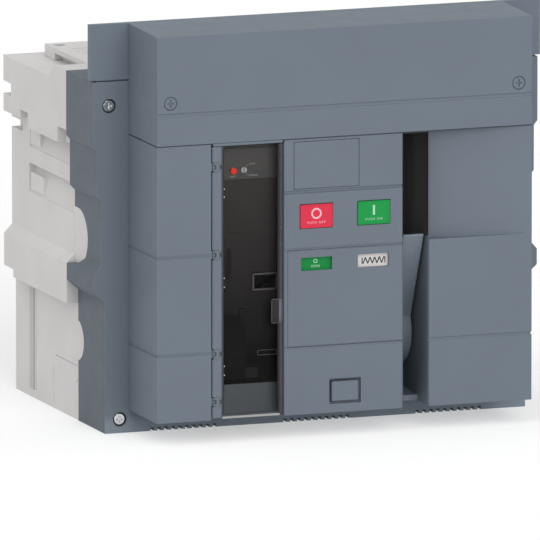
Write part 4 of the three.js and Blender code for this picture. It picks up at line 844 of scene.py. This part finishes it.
def doorSurround():
    low, high, _ = millimetres("cover_hinge_strip")
    windowLow, windowHigh, _ = millimetres("cover_window")
    tripLow, tripHigh, _ = millimetres("trip_unit")
    panelLeft = millimetres("centre_panel")[0].x
    bottom, top = roundLook["rail"]
    makeBlock("doorTopRail", (low.x + roundLook["railIn"], low.y, high.z + bottom),
              (windowHigh.x, low.y + roundLook["railDeep"], high.z + top), "base", "fascia_plastic",
              fasciaSkin, roundLook["railRound"], 1, (1, 0, 0))
    before, after = roundLook["header"]
    makeBlock("tripHeader",
              (low.x + roundLook["headerIn"], tripLow.y - before, tripHigh.z + roundLook["headerGap"]),
              (windowHigh.x - roundLook["headerIn"], tripLow.y + after, high.z + roundLook["headerUp"]),
              "base", "black_plastic", warmSkin)
    # the bay wall liner is painted light: the case moulding lit as if the wall were not in shade
    before, after = roundLook["liner"]
    makeBlock("bayWallPaintedLightLiner",
              (windowHigh.x + roundLook["linerIn"], tripLow.y - before, low.z + roundLook["linerUp"]),
              (panelLeft, tripLow.y + after, high.z), "base", "black_plastic", bayWallPaintedLightSkin)
    # the gap fillers are painted shade: a dark strip for the shade in the shut line by the door
    before, after = roundLook["filler"]
    makeBlock("doorGapShade", (windowHigh.x + roundLook["fillerIn"], low.y + before, windowLow.z),
              (panelLeft, low.y + after, windowHigh.z), "base", "fascia_plastic", seamShadeSkin)


# Hinge lugs: a cap over each, a painted shade mark of two legs and a bar on it for the gaps round the lug,
# and painted shade for a notch opposite in the strip. The strip's own edge is filled between the lugs with a
# shallow painted shade. Levels are from the foot of the hinge strip.
lugLook = {"levels": (14.3, 56.3, 143.3, 220.3), "high": 7.0, "axis": 2, "cap": (0.4, 3.4), "capOver": 0.65,
           "capBack": 0.12, "capRound": 0.05, "proud": 0.22, "mark": 1.3, "markHigh": 3.6,
           "markProud": 0.03, "leg": 0.5, "legIn": 0.4, "notch": (1.8, 0.1), "notchProud": 0.06,
           "notchDeep": 0.2, "edgeGap": 1.0, "edgeEnds": 0.2, "edgeOut": 0.9, "edgeIn": 0.1,
           "edgeFrom": (0.3, 0.9)}


def hingeLugs():
    low, high, _ = millimetres("cover_hinge_strip")
    levels = [low.z + height for height in lugLook["levels"]]
    edge, caps, gapShade, notchShade = (bmesh.new() for _ in range(4))
    reach = lugLook["high"] / 2 + lugLook["edgeGap"]
    ends, (near, far) = lugLook["edgeEnds"], lugLook["edgeFrom"]
    stops = [low.z + ends, *[level + side * reach for level in levels for side in (-1, 1)], high.z - ends]
    for bottom, top in zip(stops[::2], stops[1::2]):
        addBlock(edge, (low.x - lugLook["edgeOut"], low.y + near, bottom),
                 (low.x + lugLook["edgeIn"], low.y + far, top))
    makePiece("stripEdgeShade", edge, "cover", "fascia_plastic", faintSeamShadeSkin)
    front, back = low.y - lugLook["proud"], low.y - lugLook["capBack"]
    inked = front - lugLook["markProud"]
    left, right = (low.x + lugLook["axis"] + across for across in (-lugLook["cap"][0], lugLook["cap"][1]))
    markRight = left + lugLook["mark"]
    half, small, leg = lugLook["high"] / 2 + lugLook["capOver"], lugLook["markHigh"] / 2, lugLook["leg"]
    notchLeft, notchRight = (high.x - across for across in lugLook["notch"])
    for level in levels:
        addBlock(caps, (left, front, level - half), (right, back, level + half), lugLook["capRound"], 1)
        addBlock(gapShade, (left, inked, level - small), (markRight, front, level + small))
        for foot in (level - small, level + small - leg):
            addBlock(gapShade, (low.x - lugLook["legIn"], inked, foot), (markRight, back, foot + leg))
        addBlock(notchShade, (notchLeft, low.y - lugLook["notchProud"], level - small),
                 (notchRight, low.y + lugLook["notchDeep"], level + small))
    makePiece("lugFaces", caps, "base", "fascia_plastic", fasciaSkin)
    makePiece("lugGapShade", gapShade, "base", "fascia_plastic", seamShadeSkin)
    makePiece("stripNotchShade", notchShade, "cover", "fascia_plastic", seamShadeSkin)


doorSurround()
hingeLugs()
print("door made")

# rear housing: on each flank near the rear, painted shade of a seam, a narrow band for its channel beside a
# darker strip for its groove, in the frame's own places
flankLook = {"surface": 194.5, "joint": (104.2, 107.2), "channelShade": (107.2, 117.5), "low": 7.0, "high": 97.5,
             "proud": 0.12}


def flankSeamShade():
    joint, channelShade = bmesh.new(), bmesh.new()
    for side in (-1, 1):
        near, far = sorted((side * flankLook["surface"], side * (flankLook["surface"] + flankLook["proud"])))
        for bm, (front, rear) in ((joint, flankLook["joint"]), (channelShade, flankLook["channelShade"])):
            addBlock(bm, (near, front, flankLook["low"]), (far, rear, flankLook["high"]))
    makePiece("flankGroovePaintedShade", joint, "base", "housing_plastic", grooveShadeSkin)
    makePiece("flankChannelPaintedShade", channelShade, "base", "housing_plastic", channelShadeSkin)


# the shadow strip in the gap between the hood and the panels under it
hoodGap = {"inset": 0.4, "clear": 0.03, "high": 1, "deep": 40}


def hoodGapStrip():
    low, high, _ = millimetres("hood")
    panelLow, panelHigh, _ = millimetres("left_panel")
    inset, clear = hoodGap["inset"], hoodGap["clear"]
    makeBlock("hoodGapStrip", (low.x + inset, panelLow.y + inset, panelHigh.z + clear),
              (high.x - inset, panelLow.y + hoodGap["deep"], panelHigh.z + hoodGap["high"] - clear),
              "base", "fascia_plastic", seamShadeSkin)


# a dark ring behind each flange screw head
screwRingLook = {"back": 1.0, "wide": 1.45, "clear": 0.05, "thick": 0.6}


def screwDarkRings():
    for place in ("upper_left", "lower_left", "upper_right", "lower_right"):
        node = "flange_screw_" + place
        low, high, middle = millimetres(node)
        radius = (high.x - low.x) / 2
        bm = bmesh.new()
        addRing(bm, (middle.x, low.y + screwRingLook["back"], middle.z), radius + screwRingLook["wide"],
                radius + screwRingLook["clear"], screwRingLook["thick"])
        makePiece(node + "DarkRing", bm, "base", "black_plastic", blackSkin)


# fine seams round the middle field of the centre panel in painted shade: one upright, two rows in its grooves,
# one faint above
seamLook = {"side": 3.0, "wide": 0.45, "proud": 0.03, "field": (59.2, 144.4), "upperField": 193.5,
            "groove": 0.7, "row": 0.1, "rowEnd": 0.2, "faintWide": 0.27, "faintUp": 3}


def panelSeams():
    low, high, _ = millimetres("centre_panel")
    face = low.y - seamLook["proud"]
    bottom, top = (low.z + height for height in seamLook["field"])
    left, wide, groove = low.x + seamLook["side"], seamLook["wide"], low.y + seamLook["groove"]
    makeBlock("panelFieldSeam", (left, face, bottom), (left + wide, low.y, top), "base", "black_plastic",
              seamShadeSkin)
    rows = bmesh.new()
    for height in (top, bottom):
        addBlock(rows, (left, groove - seamLook["row"], height),
                 (high.x - seamLook["rowEnd"], groove, height + wide))
    makePiece("panelRowSeams", rows, "base", "black_plastic", seamShadeSkin)
    makeBlock("panelFaintSeam", (left, face, top + seamLook["faintUp"]),
              (left + seamLook["faintWide"], low.y, low.z + seamLook["upperField"]), "base", "dark_plastic",
              faintSeamShadeSkin)


# padlock tab: a painted shade frame round its face, for the shade in the gap round the tab
tabLook = {"edge": 0.7, "proud": 0.05}


def tabGapShade():
    low, high, _ = millimetres("padlock_tab")
    wide = tabLook["edge"]
    bm = bmesh.new()
    for left, right, bottom, top in (
            (low.x, high.x, low.z, low.z + wide), (low.x, high.x, high.z - wide, high.z),
            (low.x, low.x + wide, low.z, high.z), (high.x - wide, high.x, low.z, high.z)):
        addBlock(bm, (left, low.y - tabLook["proud"], bottom), (right, low.y, top))
    makePiece("padlockTabGapShade", bm, "padlock_slide", "fascia_plastic", seamShadeSkin)


flankSeamShade()
hoodGapStrip()
screwDarkRings()
panelSeams()
tabGapShade()
print("trim, washers and seams made")

# camera: angles in degrees, sensor in mm, the rest in metres
view = {"azimuth": -20, "elevation": 10, "distance": 18, "widthSeen": 0.4671, "sensor": 36,
        "aim": (-0.0694, -0.154, -0.0309)}


def placeCamera():
    low, high = cadBounds
    target = (low + high) / 2 + Vector(view["aim"])
    azimuth, elevation = math.radians(view["azimuth"]), math.radians(view["elevation"])
    back = Vector((math.sin(azimuth) * math.cos(elevation), -math.cos(azimuth) * math.cos(elevation),
                   math.sin(elevation)))
    data = bpy.data.cameras.new("camera")
    data.sensor_width = view["sensor"]
    data.lens = view["sensor"] * view["distance"] / view["widthSeen"]
    data.clip_end = 100
    camera = bpy.data.objects.new("camera", data)
    camera.location = target + back * view["distance"]
    camera.rotation_euler = (-back).to_track_quat("-Z", "Y").to_euler()
    bpy.context.scene.collection.objects.link(camera)
    bpy.context.scene.camera = camera


# A bright studio: "level" lights the part, glossy rays see "glossLow" rise to "glossHigh" and the camera sees
# plain white. Each sun has the way it shines, its strength and its spread in degrees.
studio = {"level": 0.52, "glossLow": 0.12, "glossHigh": 1.1, "fade": (-0.1, 0.8), "suns": {
    "keyLight": ((-0.05, 0.8, -0.5), 0.8, 45), "fillLight": ((0.02, 1, -0.03), 0.8, 40),
    "sideLight": ((0.7, 0.05, -0.7), 0.53, 50), "topLight": ((0, 0.1, -1), 0.25, 60)}}


def lightStudio():
    world = bpy.data.worlds.new("Studio")
    bpy.context.scene.world = world
    world.use_nodes = True
    tree = world.node_tree
    tree.nodes.clear()
    way = addNode(tree, "ShaderNodeTexCoord").outputs["Generated"]
    height = addNode(tree, "ShaderNodeSeparateXYZ", {"Vector": way}).outputs["Z"]
    mirrored = between(tree, height, studio["glossLow"], studio["glossHigh"], *studio["fade"])
    rays = addNode(tree, "ShaderNodeLightPath").outputs
    lit = addNode(tree, "ShaderNodeMix", {0: rays["Is Glossy Ray"], 2: studio["level"], 3: mirrored})
    seen = combine(tree, "MAXIMUM", rays["Is Camera Ray"], rays["Is Transmission Ray"])
    level = addNode(tree, "ShaderNodeMix", {0: seen, 2: lit.outputs[0], 3: 1.0})
    sky = addNode(tree, "ShaderNodeBackground", {"Color": srgb("#ffffff"), "Strength": level.outputs[0]})
    addNode(tree, "ShaderNodeOutputWorld", {"Surface": sky.outputs["Background"]})
    for name, (towards, strength, spread) in studio["suns"].items():
        data = bpy.data.lights.new(name, "SUN")
        data.energy = strength
        data.angle = math.radians(spread)
        lamp = bpy.data.objects.new(name, data)
        lamp.rotation_euler = Vector(towards).to_track_quat("-Z", "Y").to_euler()
        bpy.context.scene.collection.objects.link(lamp)


# Painted studio floor: pale and matt with a slow drift, and a little glow so that it nears the white behind.
# "half" is half its side in metres.
floorLook = {"colour": "#cbcbcb", "second": "#cdcdcd", "drift": 400, "rough": 0.6, "glow": 0.2,
             "seenGlow": 0.42, "drop": 0.3, "half": 12}


def layFloor():
    mesh = bpy.data.meshes.new("floor")
    bm = bmesh.new()
    bmesh.ops.create_grid(bm, x_segments=2, y_segments=2, size=floorLook["half"])
    bmesh.ops.translate(bm, verts=bm.verts, vec=(0, 0, cadBounds[0].z - floorLook["drop"] * mm))
    bm.to_mesh(mesh)
    bm.free()
    material, tree, place = newMaterial("PaleStudioFloor")
    drift = between(tree, noise(tree, place, floorLook["drift"], 2), 0, 1)
    colour = mixColour(tree, drift, srgb(floorLook["colour"]), srgb(floorLook["second"]))
    paint = addNode(tree, "ShaderNodeBsdfDiffuse", {"Color": colour, "Roughness": floorLook["rough"]})
    rays = addNode(tree, "ShaderNodeLightPath").outputs
    seen = combine(tree, "MAXIMUM", rays["Is Camera Ray"], rays["Is Glossy Ray"])
    seen = combine(tree, "MAXIMUM", seen, rays["Is Transmission Ray"])
    glow = addNode(tree, "ShaderNodeMix", {0: seen, 2: floorLook["glow"], 3: floorLook["seenGlow"]})
    lamp = addNode(tree, "ShaderNodeEmission", {"Color": srgb("#ffffff"), "Strength": glow.outputs[0]})
    both = addNode(tree, "ShaderNodeAddShader", {0: paint.outputs["BSDF"], 1: lamp.outputs["Emission"]})
    output(tree, both.outputs["Shader"])
    mesh.materials.append(material)
    floor = bpy.data.objects.new("floor", mesh)
    bpy.context.scene.collection.objects.link(floor)


bpy.context.scene.view_settings.view_transform = "Standard"
placeCamera()
lightStudio()
layFloor()
print("camera, light and floor placed")
